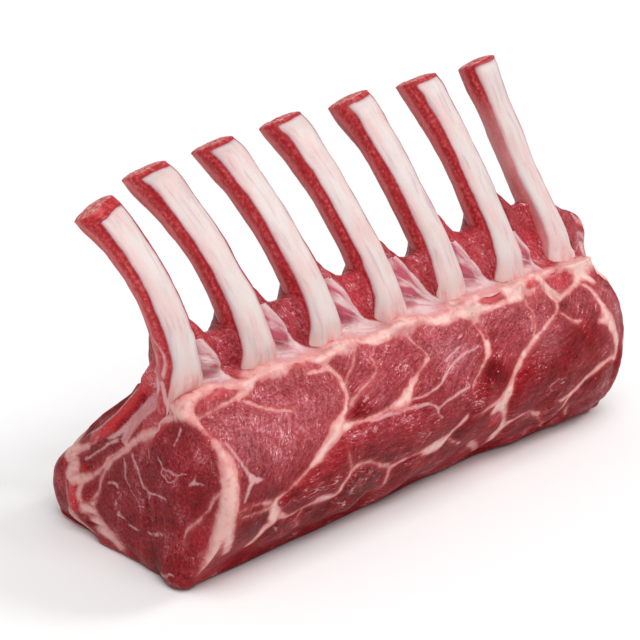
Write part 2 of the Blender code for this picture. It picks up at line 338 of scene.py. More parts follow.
def grid_normals(points):
    """Outward unit normals of a grid whose columns close into rings."""
    along = np.gradient(points, axis=0)
    around = np.roll(points, -1, axis=1) - np.roll(points, 1, axis=1)
    normals = np.cross(around, along)
    return normals / (np.linalg.norm(normals, axis=-1, keepdims=True) + 1e-12)


# --- the ribs' form ----------------------------------------------------------------------------
def rib_middle(number, t):
    """Middle line of a rib, from its root at 0 to its cut tip at 1."""
    reach, height, bow = RIB_SHAPES[number][:3]
    base = Vector((FIRST_RIB + number * RIB_PITCH, RIDGE_Y, RIDGE_HEIGHT))
    tip = Vector((base.x + RIB_LEAN, reach, height))
    control = (base + tip) / 2.0 + Vector((0.0, -2.0, 2.0 * BOW_RISE)) * bow
    leaving = ROOT_DEPTH / (ROOT_DEPTH + (tip - base).length)
    if t < leaving:
        depth = ROOT_DEPTH * (leaving - t) / leaving
        return base + (base - control).normalized() * depth + Vector((0.0, ROOT_CURVE * depth * depth, 0.0))
    s = (t - leaving) / (1.0 - leaving)
    return base * (1.0 - s) ** 2 + control * (2.0 * s * (1.0 - s)) + tip * s * s


def rib_frame(number, t):
    """(middle, facing, side, across) of a rib's section: side points +X, across to the back."""
    step = 0.02
    ahead = rib_middle(number, min(1.0, t + step))
    behind = rib_middle(number, max(0.0, t - step))
    tilt, roll = math.radians(CUT_TILT), math.radians(RIB_SHAPES[number][3] + MORE_ROLL)
    cut = Vector((-math.sin(roll), math.cos(roll) * math.sin(tilt), math.cos(roll) * math.cos(tilt)))
    blend = float(smooth((t - CUT_BLEND) / (1.0 - CUT_BLEND)))
    facing = (ahead - behind).normalized().lerp(cut, blend).normalized()
    side = Vector((1.0, 0.0, 0.0))
    side = (side - facing * side.dot(facing)).normalized()
    return rib_middle(number, t), facing, side, facing.cross(side)


def rib_reach(angles):
    """Radius of a squarish oval of half width 1 at each angle."""
    c, s = np.abs(np.cos(angles)), np.abs(np.sin(angles))
    return (c ** RIB_SQUARENESS + s ** RIB_SQUARENESS) ** (-1.0 / RIB_SQUARENESS)


def rib_half_sizes(number, t):
    """Half width and half depth of a rib, which spreads at its foot."""
    t = np.asarray(t, float)
    flare = BASE_FLARE * smooth((FLARE_END - t) / 0.2)[..., None] * np.array([1.0, 0.25])
    return read_table(RIB_SECTIONS, t) * RIB_SHAPES[number][4] / 2.0 + flare


def rib_fronts(points):
    """Of the nearest rib at each point's height: how far to its right the point is, its front's y."""
    past = np.full(points.shape[:-1], 99.0)
    front = np.zeros(points.shape[:-1])
    for number in range(RIBS):
        places = np.linspace(0.1, 0.8, 40)
        middles = np.array([list(rib_middle(number, t)) for t in places])
        half = rib_half_sizes(number, places)[:, 1]
        here = points[..., 0] - np.interp(points[..., 2], middles[:, 2], middles[:, 0])
        closer = np.abs(here) < np.abs(past)
        past = np.where(closer, here, past)
        front = np.where(closer, np.interp(points[..., 2], middles[:, 2], middles[:, 1] - half), front)
    return past, front


def rib_distance(points):
    """Of the nearest rib to each point: distance to its surface, angle round it, place, number."""
    best = [np.full(points.shape[:-1], value) for value in (99.0, 0.0, 0.0, 0.0)]
    for number in range(RIBS):
        base_x = FIRST_RIB + number * RIB_PITCH
        near = np.nonzero((np.abs(points[..., 0] - base_x) < 24.0) & (points[..., 2] > 40.0))
        here = points[near]
        places = np.linspace(0.0, 1.0, 61)
        frames = [rib_frame(number, t) for t in places]
        middles, _, sides, acrosses = (np.array([list(f[k]) for f in frames]) for k in range(4))
        nearest = np.argmin(((here[:, None, :] - middles) ** 2).sum(-1), axis=1)
        away = here - middles[nearest]
        half = rib_half_sizes(number, places)[nearest]
        a = (away * sides[nearest]).sum(-1) / half[:, 0]
        b = (away * acrosses[nearest]).sum(-1) / half[:, 1]
        angle = np.arctan2(b, a)
        size = np.hypot(a, b)
        distance = np.linalg.norm(away, axis=-1) * (1.0 - rib_reach(angle) / np.maximum(size, 0.05))
        closer = distance < best[0][near]
        for store, value in zip(best, (distance, angle, places[nearest], np.full(len(here), float(number)))):
            kept = store[near]
            kept[closer] = value[closer]
            store[near] = kept
    return best


# --- where the fat, the membranes and the muscles lie ------------------------------------------
# On the sides a stroke is a list of (x, u, half width); deep ones lie in a groove.
RIDGE_FAT = [
    [(-101, 3.5, 4), (-98.5, 2.5, 3), (-96, 0, 2.2), (-90, -1.8, 1.4), (-82, -1.5, 1.3), (-76, 0, 1.7), (-70, -0.3, 1.5),
     (-62, -0.6, 1.3), (-54, -1.2, 1.1), (-50, -1.4, 1.2), (-47, 1, 2.2), (-43, 0.3, 2.3), (-38, -0.8, 1.8),
     (-31, -1.3, 1.5), (-26, -0.3, 2.2), (-20, 0.2, 2.7), (-14, -0.2, 2.3), (-9, -0.3, 1.9), (-4, -0.9, 1.5),
     (1, 0.6, 2.3), (6, 1.2, 2.5), (12, 1.5, 2.6), (18, 3, 3.4), (24, 2.6, 2.8)],
    [(20, 0, 2.5), (27, -2.8, 0.8), (32, -3.2, 0.8), (37, -2.5, 1), (41, 0.5, 3)],
    [(24, 3, 2.4), (30, 3.6, 1.5), (36, 3.4, 1.7), (41, 3.2, 2.8), (45, 1.2, 2.4), (48.5, -1.2, 1.6), (53, -2, 0.9),
     (57, -1.5, 1.5)],
    [(57.5, -1, 2.2), (59, 4, 1.7), (59, 8.5, 1.8), (58, 10.8, 1.2)],
    [(58, 10.6, 0.9), (62.5, 9.4, 1), (66.5, 8.9, 0.9), (70.5, 8, 1.2), (73.5, 6, 2.2), (76, 4, 3.2), (78, 8, 2.4)],
    [(60, -2, 1.3), (66, -2.4, 1.2), (71, -1, 1.6), (76, 1, 3), (84, 2, 2.5)],
]
DEEP_SEAMS = [
    [(-101, 7.6, 0.8), (-98, 6.6, 0.8), (-94, 5.6, 0.7), (-88, 4.7, 0.8), (-84.5, 4, 1.1), (-80.5, 3.2, 1), (-77, 2, 0.9),
     (-73, 1, 0.9)],
    [(-46.8, 3, 1.5), (-46.5, 7, 1.3), (-46.8, 10, 1.4), (-47.5, 13, 1.2), (-48.8, 16.5, 0.8), (-51.3, 19.8, 0.5),
     (-54.5, 23.2, 1.3), (-57, 25.4, 2.7), (-59.5, 27.4, 3), (-62.5, 29.4, 2.1), (-66.5, 31.8, 1.4), (-70.5, 33.8, 1.1),
     (-74.5, 36, 0.9), (-79, 38.4, 0.8), (-83.5, 40.4, 0.9), (-84, 43, 1.9), (-83.2, 46, 2.9), (-83, 48.5, 2.4),
     (-86, 51, 1.6), (-87.5, 55, 1.4), (-88, 60, 1.1)],
    [(-10.4, 2, 1.2), (-10.1, 6, 0.9), (-10.2, 10, 0.7), (-11.2, 13.5, 0.9), (-13.8, 15.6, 0.8), (-17.5, 17.6, 0.6),
     (-21.5, 19.8, 0.7), (-25, 22.3, 1.4), (-28, 24.3, 2.3), (-31.5, 25, 1.7), (-36, 25.2, 0.7), (-42, 25.5, 0.45),
     (-48, 25.6, 0.6), (-52, 25.5, 1.2), (-55, 26, 2)],
    [(0.2, 37.5, 0.5), (-0.8, 39.2, 1.2), (-2.5, 40.6, 1), (-5, 42.3, 0.9), (-7.5, 44, 1.7), (-10, 45.4, 3),
     (-13, 46.2, 3.2), (-16.5, 45.8, 2.2), (-19.5, 45.2, 0.8), (-23.5, 45.9, 0.6), (-27, 46.4, 0.9), (-31, 47, 1.4),
     (-34, 46, 1.1), (-37.5, 44, 0.8), (-41, 42, 0.6), (-45, 40.4, 0.7), (-49, 40.1, 0.6), (-52.5, 41, 0.7),
     (-54.6, 43.4, 0.9), (-55.5, 46, 1.2), (-56.5, 48.8, 1.4), (-59, 49.3, 1.4), (-62, 48.5, 1.8), (-64.5, 47.8, 1.2),
     (-67, 48.4, 0.4), (-70.5, 48.6, 0.5), (-74, 49.3, 0.6), (-77.5, 49, 1), (-81, 47, 1.2)],
    [(19.8, 5, 2.2), (17.8, 8.5, 1.9), (16.3, 12, 2), (14.8, 15.5, 1.9), (13.4, 18.6, 1.3), (11.2, 20.8, 0.7),
     (7.5, 23.3, 0.5), (4, 26.2, 0.4), (2.2, 28.5, 0.4)],
    [(57.5, 4, 1), (57, 9, 0.9), (55.8, 12.3, 0.8), (52.5, 15, 0.5), (47.5, 17, 0.4), (41.5, 19.3, 0.6), (36, 20.8, 0.9),
     (31, 23, 1.1), (27, 25.2, 1.2), (24.8, 27.6, 1.4), (22.3, 30, 1.3), (20.9, 33, 1.6), (19.3, 36.5, 2.6),
     (18.2, 39.3, 2.6), (19.5, 42, 1.3), (21.3, 46, 0.9), (22.8, 49.3, 1), (24.3, 52.5, 2), (24, 56, 2.4), (25, 60, 1.8),
     (26, 66, 1)],
    [(83, 38, 1.6), (79.5, 37.5, 1.4), (75.5, 38.3, 0.9), (71, 39.5, 1.1), (66.5, 41.6, 1), (62.5, 43.8, 0.9),
     (59.3, 46.4, 1.1), (57.5, 48, 1.4), (56.3, 51.5, 1), (55.8, 55, 0.8), (55, 60, 0.7), (54, 68, 0.8)],
    [(10, 54.5, 0.6), (14.5, 58.5, 1.3), (18.5, 62.5, 1.3), (22.5, 67, 1.3), (25.5, 70.5, 1)],
]
THIN_SEAMS = [
    [(-84, 4.3, 0.6), (-81.5, 7, 0.7), (-80, 9.8, 0.75), (-78, 12.2, 0.9), (-75.5, 13.9, 1), (-72.8, 15.2, 0.8),
     (-70, 15.6, 0.5), (-67.5, 14.7, 0.3)],
    [(-54.5, 5, 0.4), (-51, 5, 0.9), (-48, 5.2, 1.3), (-46.5, 6.5, 1.5)],
    [(-97.5, 39, 0.4), (-93, 39, 0.4), (-88.5, 40, 0.35), (-84, 40.5, 0.4)],
    [(-97, 41.8, 0.3), (-91, 42.4, 0.3), (-86.5, 42, 0.35), (-84, 41, 0.4)],
    [(-28, 2.5, 0.3), (-30, 6.5, 0.35), (-32, 11.5, 0.35), (-35, 14.5, 0.35), (-39.5, 16, 0.4), (-44.5, 17.6, 0.45),
     (-49.5, 19.8, 0.5)],
    [(-34, 3, 0.25), (-38, 7, 0.3), (-43, 10.5, 0.4), (-46, 13, 0.3)],
    [(-55.5, 32.5, 0.3), (-54.5, 36, 0.4), (-53.2, 39, 0.45), (-52.8, 41, 0.4)],
    [(-33.5, 47.5, 0.5), (-32.5, 53, 0.5), (-31.6, 57, 0.4), (-31.3, 61, 0.3)],
    [(-71, 49, 0.4), (-72, 53, 0.5), (-70.5, 56, 0.4), (-68.5, 60, 0.3)],
    [(-5.8, 45.8, 0.7), (-2.5, 48.2, 0.6), (1.2, 50.6, 0.5)],
    [(44.5, 5.5, 0.35), (42.5, 9, 0.4), (41.5, 13, 0.35), (38.5, 16.5, 0.4), (36, 19.5, 0.4)],
    [(16.5, 39.5, 2.4), (13.5, 41.5, 1)],
    [(15, 37.5, 0.7), (8, 38.8, 0.35), (3, 39.5, 0.3)],
    [(25, 52, 1.6), (29.5, 50, 0.9), (33.5, 48.9, 0.7), (37.5, 50, 0.8), (41, 52, 0.8), (44.5, 56, 0.5), (48, 59.5, 0.5),
     (52, 63, 0.4)],
    [(57, 47.8, 1.3), (52.5, 48.6, 1.1), (48.5, 48, 0.4), (49.5, 45.2, 0.4)],
    [(60.5, 55, 0.4), (62, 58.5, 0.4), (65, 62, 0.3)],
    [(52.8, 14.8, 0.3), (56.5, 19.5, 0.3), (61.2, 20.5, 0.3)],
]
CORNER_FAT = [
    [(-101.5, 12, 1.6), (-101, 20, 3), (-100.6, 27, 3.6), (-100.8, 33, 3.4), (-101, 39, 3), (-101, 45, 2.2),
     (-100, 50, 1.8), (-98.8, 55, 1.3)],
    [(73.8, 9.5, 1.2), (74, 14, 1), (74, 18, 1.2), (74.6, 22, 2.2), (76.5, 26, 2), (78.5, 29, 1.6), (81, 33, 1.5),
     (82, 37, 1.8)],
    [(70, 23, 0.8), (73, 23.5, 1.5)],
]
SIDE_FILMS = [
    [(-97.5, 18, 0.4), (-96, 24, 0.5), (-94.3, 28, 0.6), (-92.9, 30.6, 1.2), (-90, 31.8, 0.6)],
    [(-92.9, 30.8, 1.1), (-94.5, 32.5, 0.6), (-96.2, 36.5, 0.4)],
    [(-47, 26, 0.4), (-42.5, 26.8, 0.9), (-37, 27, 0.7), (-31, 27.6, 0.5), (-26, 28, 0.5), (-21, 28.4, 0.5),
     (-18.3, 29.4, 0.4), (-16, 31, 0.5), (-14.5, 34, 0.5), (-12.5, 35.3, 0.3)],
    [(-16, 31.5, 0.4), (-12, 30.3, 0.4), (-9, 29.8, 0.5), (-5, 28.6, 0.5), (0, 27.8, 0.4)],
    [(-29, 25.8, 0.4), (-24, 25.6, 0.4), (-19, 25.8, 0.35), (-14, 24.6, 0.4), (-10, 22.5, 0.5), (-6, 20, 0.5),
     (-1, 18, 0.5), (5, 17, 0.4), (10, 16.4, 0.3)],
    [(-6, 17.4, 0.3), (0, 15, 0.4), (6, 13.8, 0.3)],
    [(-50, 49, 0.5), (-49.8, 50.5, 0.4)],
    [(-82, 51, 0.3), (-80, 53, 0.4), (-79, 55, 0.3)],
    [(35, 18, 0.3), (37, 16.5, 0.3), (40, 13.5, 0.3)],
    [(44, 42.5, 0.3), (42, 40, 0.3), (46, 38.5, 0.2)],
]
SHEEN_BY_U = [(-2.0, 0.65), (18.0, 0.58), (26.0, 0.38), (34.0, 0.14), (42.0, 0.0)]  # painted sheen on the front: paler pink up near the ridge, where the top catches the light; it also raises the gloss
# (x, u, radius, amount) of more or less painted sheen
SHEEN_SPOTS = [(-88, 15, 12, 0.25), (-70, 20, 10, 0.2), (0, 15, 8, 0.25), (42, 23, 7, 0.35), (57, 28, 18, -0.35),
               (28, 36, 12, -0.2), (12, 26, 7, -0.5), (-47, 22, 5, -0.5)]
# the way the fibres run, degrees from X: on the first big muscle, above and below the middle seam
FIRST_FIBRES, UPPER_FIBRES, LOWER_FIBRES, FAR_FIBRES = 112.0, 147.0, 4.0, 165.0
FAR_MUSCLES = 12.0  # where the far muscles start below the middle seam
MIDDLE_SEAM = [(-60, 28), (-54, 25.8), (-44, 26), (-31, 25.6), (-19, 25.8), (-16, 29), (-14, 31), (-9, 29.8),
               (0, 27.8), (2.2, 28.5), (20, 32), (22, 30), (27, 25.2), (36, 20.8), (41.5, 19.3), (47.5, 17),
               (52.5, 15), (57, 10.5), (66, 9), (80, 6)]
FOOT_ROUNDING = 2.0  # how far the near cut's foot draws in, mm
FAR_CAP = 86.0  # where the far end's cut face starts along X
BACK_RIB_LENGTH, BACK_FAT_START = 52.0, 66.0  # distances down the back from the crest
# (u, x) of the seam between the two
FIRST_SEAM = [(-2, -49), (9, -46.6), (20, -51.5), (28, -60), (35, -73), (40, -81.5), (50, -87.5), (60, -89)]
# small bright muscles that show through the ridge's fat
SLIVERS = [
    [(-98, 4.5, 0.8), (-95, 3, 1.7), (-90, 1.8, 1.9), (-85, 1, 1.6), (-81.5, 1, 0.9)],
    [(27, 0.5, 1), (30, 0.2, 2), (33.5, -0.2, 1.9), (36.5, -0.6, 1)],
    [(50.5, 1, 1.2), (53.5, 0.5, 1.6), (56, 1.5, 0.8)],
    [(62, 5, 1.6), (65, 3.6, 3.6), (68.5, 3, 3.2), (71, 3.8, 1.4)],
    [(17.3, 9, 0.4), (16.5, 12, 0.6), (15.6, 14.5, 0.3)],
]
# (x, u, radius, amount) of darker and brighter flesh on the front; the darkest two, in a groove and a pocket, are
# painted shade
FLESH_SPOTS = [
    (-47, 22, 5, -1.8), (12, 26, 6.5, -2.2), (-3, 44, 3, -1), (57, 17, 8, -0.8), (70, 33, 5, -0.7), (60, 30, 12, -0.5),
    (35, 32, 10, -0.4), (-75, 56, 18, -1.1), (-45, 55, 18, -1.1), (-15, 58, 20, -0.8), (37, 57, 9, -0.9), (70, 58, 10, -0.6),
    (-3, 6, 5, 1.1), (53, 3, 4, 1.3), (66, 3.5, 4, 0.7), (16.5, 46, 4, 1.6), (43, 49, 4, 1.3), (56, 43, 3, 0.8),
    (-52, 2, 3, 1.2), (-18, 49.5, 4, 1), (-57, 34, 5, 0.5), (-90, 28, 6, -0.4), (-8, 37, 5, 0.5),
]

# On the near cut face a stroke is a list of (y, z, half width).
FACE_FAT = [
    [(-31.5, 53, 1.2), (-36, 51.8, 1.3), (-40.5, 49.8, 2), (-44.5, 46.5, 3), (-46.8, 42, 3.8), (-47, 36, 4.1),
     (-46.5, 31, 4.2), (-45, 25.5, 3.8), (-43, 19.5, 3.5), (-40.3, 13.5, 2.6), (-37.3, 9, 1.6), (-34.5, 6, 0.8)],
    [(-20, 55, 1.5), (-24, 53.7, 2.2), (-29, 54.2, 2.4), (-33, 54.5, 1.8)],
    [(-22, 52, 1.3), (-17.6, 49.7, 1.2), (-12.5, 45.9, 1.1), (-7.3, 41.2, 1.1), (-2, 36.4, 1.3), (0, 34.4, 1.1),
     (5.5, 29.9, 0.7), (8.9, 25.6, 0.6), (10.7, 22.7, 0.6), (11.7, 18.6, 0.7), (13.8, 14.1, 0.8), (15.2, 11.3, 1)],
    [(0.1, 35.3, 0.7), (7.6, 29.7, 0.5), (9, 27.4, 0.5), (12.5, 23.9, 0.6), (16.7, 20.7, 1.1), (21.1, 18.8, 1.2)],
    [(18, 30.5, 0.8), (23, 27.8, 2), (27, 26.5, 2.8), (26.6, 24.2, 2.6), (23.8, 22.8, 1.8), (25.5, 20.4, 2.3),
     (27, 17.8, 2.3), (21.8, 18.5, 1.6), (16, 20.9, 1.1)],
    [(29.2, 15.6, 0.5), (28.4, 12, 0.5), (26.9, 8.7, 0.7), (24.6, 6.6, 1)],
    [(20.3, 17.6, 0.5), (21.8, 14.3, 0.7), (20.3, 11.9, 0.6), (18.1, 10.3, 0.8)],
    [(26.9, 5.3, 2), (23.9, 4.4, 2.8), (21.6, 2.6, 2.2), (17.2, 2, 1.4)],
    [(19.5, 9.8, 1.8), (15.1, 10.3, 1.9), (12.9, 7.8, 2.4), (8.6, 5.5, 2.4), (3.6, 4, 2), (-0.6, 3.2, 1)],
    [(-18.6, 61.3, 1), (-19.6, 57, 0.8), (-19.8, 54.7, 0.8), (-20.8, 52.4, 1.2)],
    [(-26, 60, 1.4), (-24.5, 56, 1.8), (-23.5, 52.5, 2)],
    [(-15.7, 58.7, 0.3), (-10.3, 52.3, 0.35), (-5.8, 45.7, 0.4), (-1.9, 39.1, 0.6), (-0.6, 35.5, 0.9)],
    [(-42.5, 34.8, 0.7), (-39.6, 31.1, 0.45), (-37.1, 27.2, 0.4), (-33.8, 23.2, 0.45), (-30.3, 20.1, 0.5),
     (-29.5, 17, 0.45), (-29.2, 13.1, 0.3)],
]
# these also run up the left side of the first rib
FACE_STRANDS = [
    [(-10.8, 70.8, 0.3), (-12.9, 66.6, 0.4), (-13.4, 61.5, 0.4), (-13.8, 59, 0.7)],
    [(-16.9, 75, 0.4), (-19.8, 71.9, 0.5), (-20.6, 68.3, 0.6), (-19.1, 64, 0.9)],
    [(-15, 73.2, 0.2), (-17, 69.5, 0.3), (-15.9, 65.3, 0.3), (-16.6, 62.5, 0.4), (-16.4, 59.4, 0.5)],
    [(-10, 63.2, 0.1), (-7.5, 58.6, 0.2), (-4.3, 53.7, 0.25), (-1.6, 51.1, 0.3), (2.4, 46.3, 0.3), (9.2, 40.2, 0.3),
     (16.2, 35.3, 0.2)],
    [(2.2, 37.8, 0.6), (7, 34.9, 0.5), (11.2, 31.3, 0.4), (16.1, 27.9, 0.4), (19.7, 25.8, 0.5)],
    [(9.8, 37.2, 0.2), (13.3, 33.4, 0.25), (18.3, 30.9, 0.3), (21.9, 28.4, 0.4)],
]
FACE_VEINS = [
    [(-4.4, 35, 0.35), (-6.3, 33.1, 0.4), (-8.8, 31.3, 0.4), (-10.7, 28.8, 0.35), (-12.6, 27.6, 0.35),
     (-14.5, 26.3, 0.45), (-18.2, 27.2, 0.35), (-22.4, 27.1, 0.4)],
    [(-14.5, 26.3, 0.4), (-13.7, 23.5, 0.3)],
    [(-0.6, 32.5, 0.3), (-1.6, 29.7, 0.35), (-2.2, 26.6, 0.35), (-5.1, 24.4, 0.3), (-8, 22.8, 0.3)],
    [(2.5, 18.6, 0.4), (1, 15.9, 0.35), (-1.5, 14.2, 0.35), (-4.5, 12.6, 0.3), (-7.3, 12.3, 0.4), (-10.2, 13, 0.3)],
    [(7.5, 22.5, 0.35), (2.6, 23.1, 0.5), (2, 20.1, 0.4), (3, 17.8, 0.4), (1.4, 15.7, 0.6), (0.4, 12.8, 0.4)],
    [(-33.6, 37.6, 0.3), (-33.3, 35.7, 0.7), (-31.6, 34.5, 0.3)],
    [(-33.3, 35.7, 0.5), (-37.7, 36.2, 0.2)],
    [(-17.9, 38.7, 0.3), (-20.2, 36.3, 0.4), (-19.8, 34.3, 0.3), (-22.6, 33.4, 0.3), (-25.3, 34, 0.3)],
    [(-20.7, 36.5, 0.3), (-25.2, 36.4, 0.3), (-29.7, 37.3, 0.2)],
    [(-25.7, 49.1, 0.5), (-24.9, 46.4, 0.3), (-24, 44.3, 0.2)],
    [(-11.3, 41, 0.3), (-12.3, 38.8, 0.3), (-12.8, 37.1, 0.2)],
    [(-13, 13, 0.35), (-16.3, 13.6, 0.5), (-20, 15.4, 0.3)],
    [(-20.8, 3, 0.4), (-25.4, 5, 0.5), (-27.2, 5.1, 0.3)],
]
FACE_FILMS = [
    [(-16, 62, 0.8), (-15.7, 59.2, 1.4), (-12.3, 54.7, 1.6), (-9.1, 50.6, 1.8), (-5.1, 45.9, 1.9), (-2.5, 42, 1.7),
     (-0.2, 37.7, 1)],
    [(-7, 51.4, 0.4), (-5.8, 48.3, 0.6), (-1.8, 43.6, 0.8), (2.2, 39.6, 0.8), (6.3, 37, 0.5)],
]
# bright red meat, and grooves at the face's back edge that are cut in and darkened with painted shade
FACE_BRIGHT = [
    [(-12, 66, 2), (-10.8, 60.8, 2.5), (-7.6, 56.4, 2.5), (-5, 52.1, 2.5), (-1.7, 47.6, 2.4), (3, 43, 2.2),
     (7.8, 39.3, 1.9), (12.6, 35.5, 1.5), (17, 31.5, 0.8)],
    [(-15.9, 72.5, 1), (-15.7, 69.4, 1.4)],
    [(-18.9, 68.5, 1), (-18.7, 64.5, 1.3)],
    [(19.9, 23.2, 0.9), (19.4, 22.4, 0.9)],
    [(25.2, 15.6, 1.4), (24.3, 12, 1.5), (23.2, 9.4, 1.3)],
    [(12, 1.9, 1), (5, 1.2, 1), (-1.4, 1.4, 1), (-5.6, 1.2, 0.8)],
]
FACE_GROOVES = [
    [(-10.8, 57.8, 0.3), (-7, 52.2, 0.8), (-4.4, 48.4, 0.9), (-1.1, 44.7, 0.8), (2.9, 41.2, 0.4)],
    [(-13, 24, 0.1), (-13, 13.5, 0.2), (-14.5, 8, 0.9), (-16, 2, 1.2)],
    [(16.6, 11.5, 0.5), (14.2, 6.5, 0.7), (12.5, 3.5, 0.6)],
]
# the bright strip's outer edge, rows of (z, y): beyond it the face lies further back
FACE_EDGE = [(0.0, 60.0), (20.0, 40.0), (26.0, 29.2), (29.8, 23.4), (35.3, 16.2), (40.2, 9.2), (46.3, 2.4), (51.1, -1.6),
             (58.6, -7.5), (63.2, -10.0), (80.0, -14.0)]
FACE_SPOTS = [
    (-35, 20, 5.5, 0.9), (-33, 43, 7, 0.6), (-37, 47, 4, 0.5), (-22, 27, 12, -0.3), (-8, 15, 10, -0.2),
    (33, 15, 6, 0.8), (15.5, 16, 3.5, 0.4), (-14, 50, 4, 0.5), (-18, 8, 8, -0.3), (14, 44, 8, -0.8), (26, 34, 8, -0.6),
]

# (y, z, radius, height) of swellings of the near face
FACE_LUMPS = [
    (-20, 33, 17, 1.2), (-26, 5, 9, 2.0), (-42, 4, 7, -1.2), (2, 12, 8, 1.0), (22, 9, 6, 1.6), (31, 22, 7, 1.2),
    (8, 40, 7, 1.2), (24, 30, 5, -1.0), (34, 7, 7, -1.3),
]


# --- relief and paint of the loaf --------------------------------------------------------------
# the silverskin web to the right of each rib: (distance past the rib, height) of its free edge
WEB_EDGE = [(5.0, 75.0), (7.0, 73.0), (10.0, 70.0), (12.5, 67.0), (14.3, 64.0), (16.5, 61.0), (19.0, 59.0), (23.0, 57.5)]
# how far that edge is moved along X and up, by gap
WEB_SHIFTS = [(-0.5, -3.0), (0.0, 0.0), (0.0, 1.0), (2.0, 1.0), (0.5, 0.5), (-1.5, -1.5)]


def web_depth(x, z):
    """How far below the free edge of its gap's web each point lies (mm), and the gap's number."""
    gap = np.clip(np.floor((x - FIRST_RIB) / RIB_PITCH).astype(int), 0, RIBS - 2)
    shift = np.array(WEB_SHIFTS)[gap]
    past = x - FIRST_RIB - gap * RIB_PITCH - shift[..., 0]
    height = z - shift[..., 1]
    edge = catmull_rom(WEB_EDGE, 3)
    away = np.full(x.shape, 99.0)
    for start, end in zip(edge, edge[1:]):
        run = end - start
        t = np.clip(((past - start[0]) * run[0] + (height - start[1]) * run[1]) / (run @ run), 0.0, 1.0)
        away = np.minimum(away, np.hypot(past - start[0] - run[0] * t, height - start[1] - run[1] * t))
    limit = np.interp(past, edge[:, 0], edge[:, 1])
    inside = np.where(height < limit, 1.0, -1.0)
    has_web = (x > FIRST_RIB) & (x < FIRST_RIB + (RIBS - 1) * RIB_PITCH)
    return np.where(has_web, away * inside, -9.0), gap


# (distance past the nearest rib's middle, how far the wall stands behind that rib's front)
WALL_INSETS = [(-14.0, 4.4), (-9.0, 3.6), (-6.5, 2.4), (-4.5, 3.5), (0.0, 4.0), (3.5, 3.0), (5.5, 0.9), (8.0, 1.3),
               (11.0, 2.4), (14.2, 4.4)]


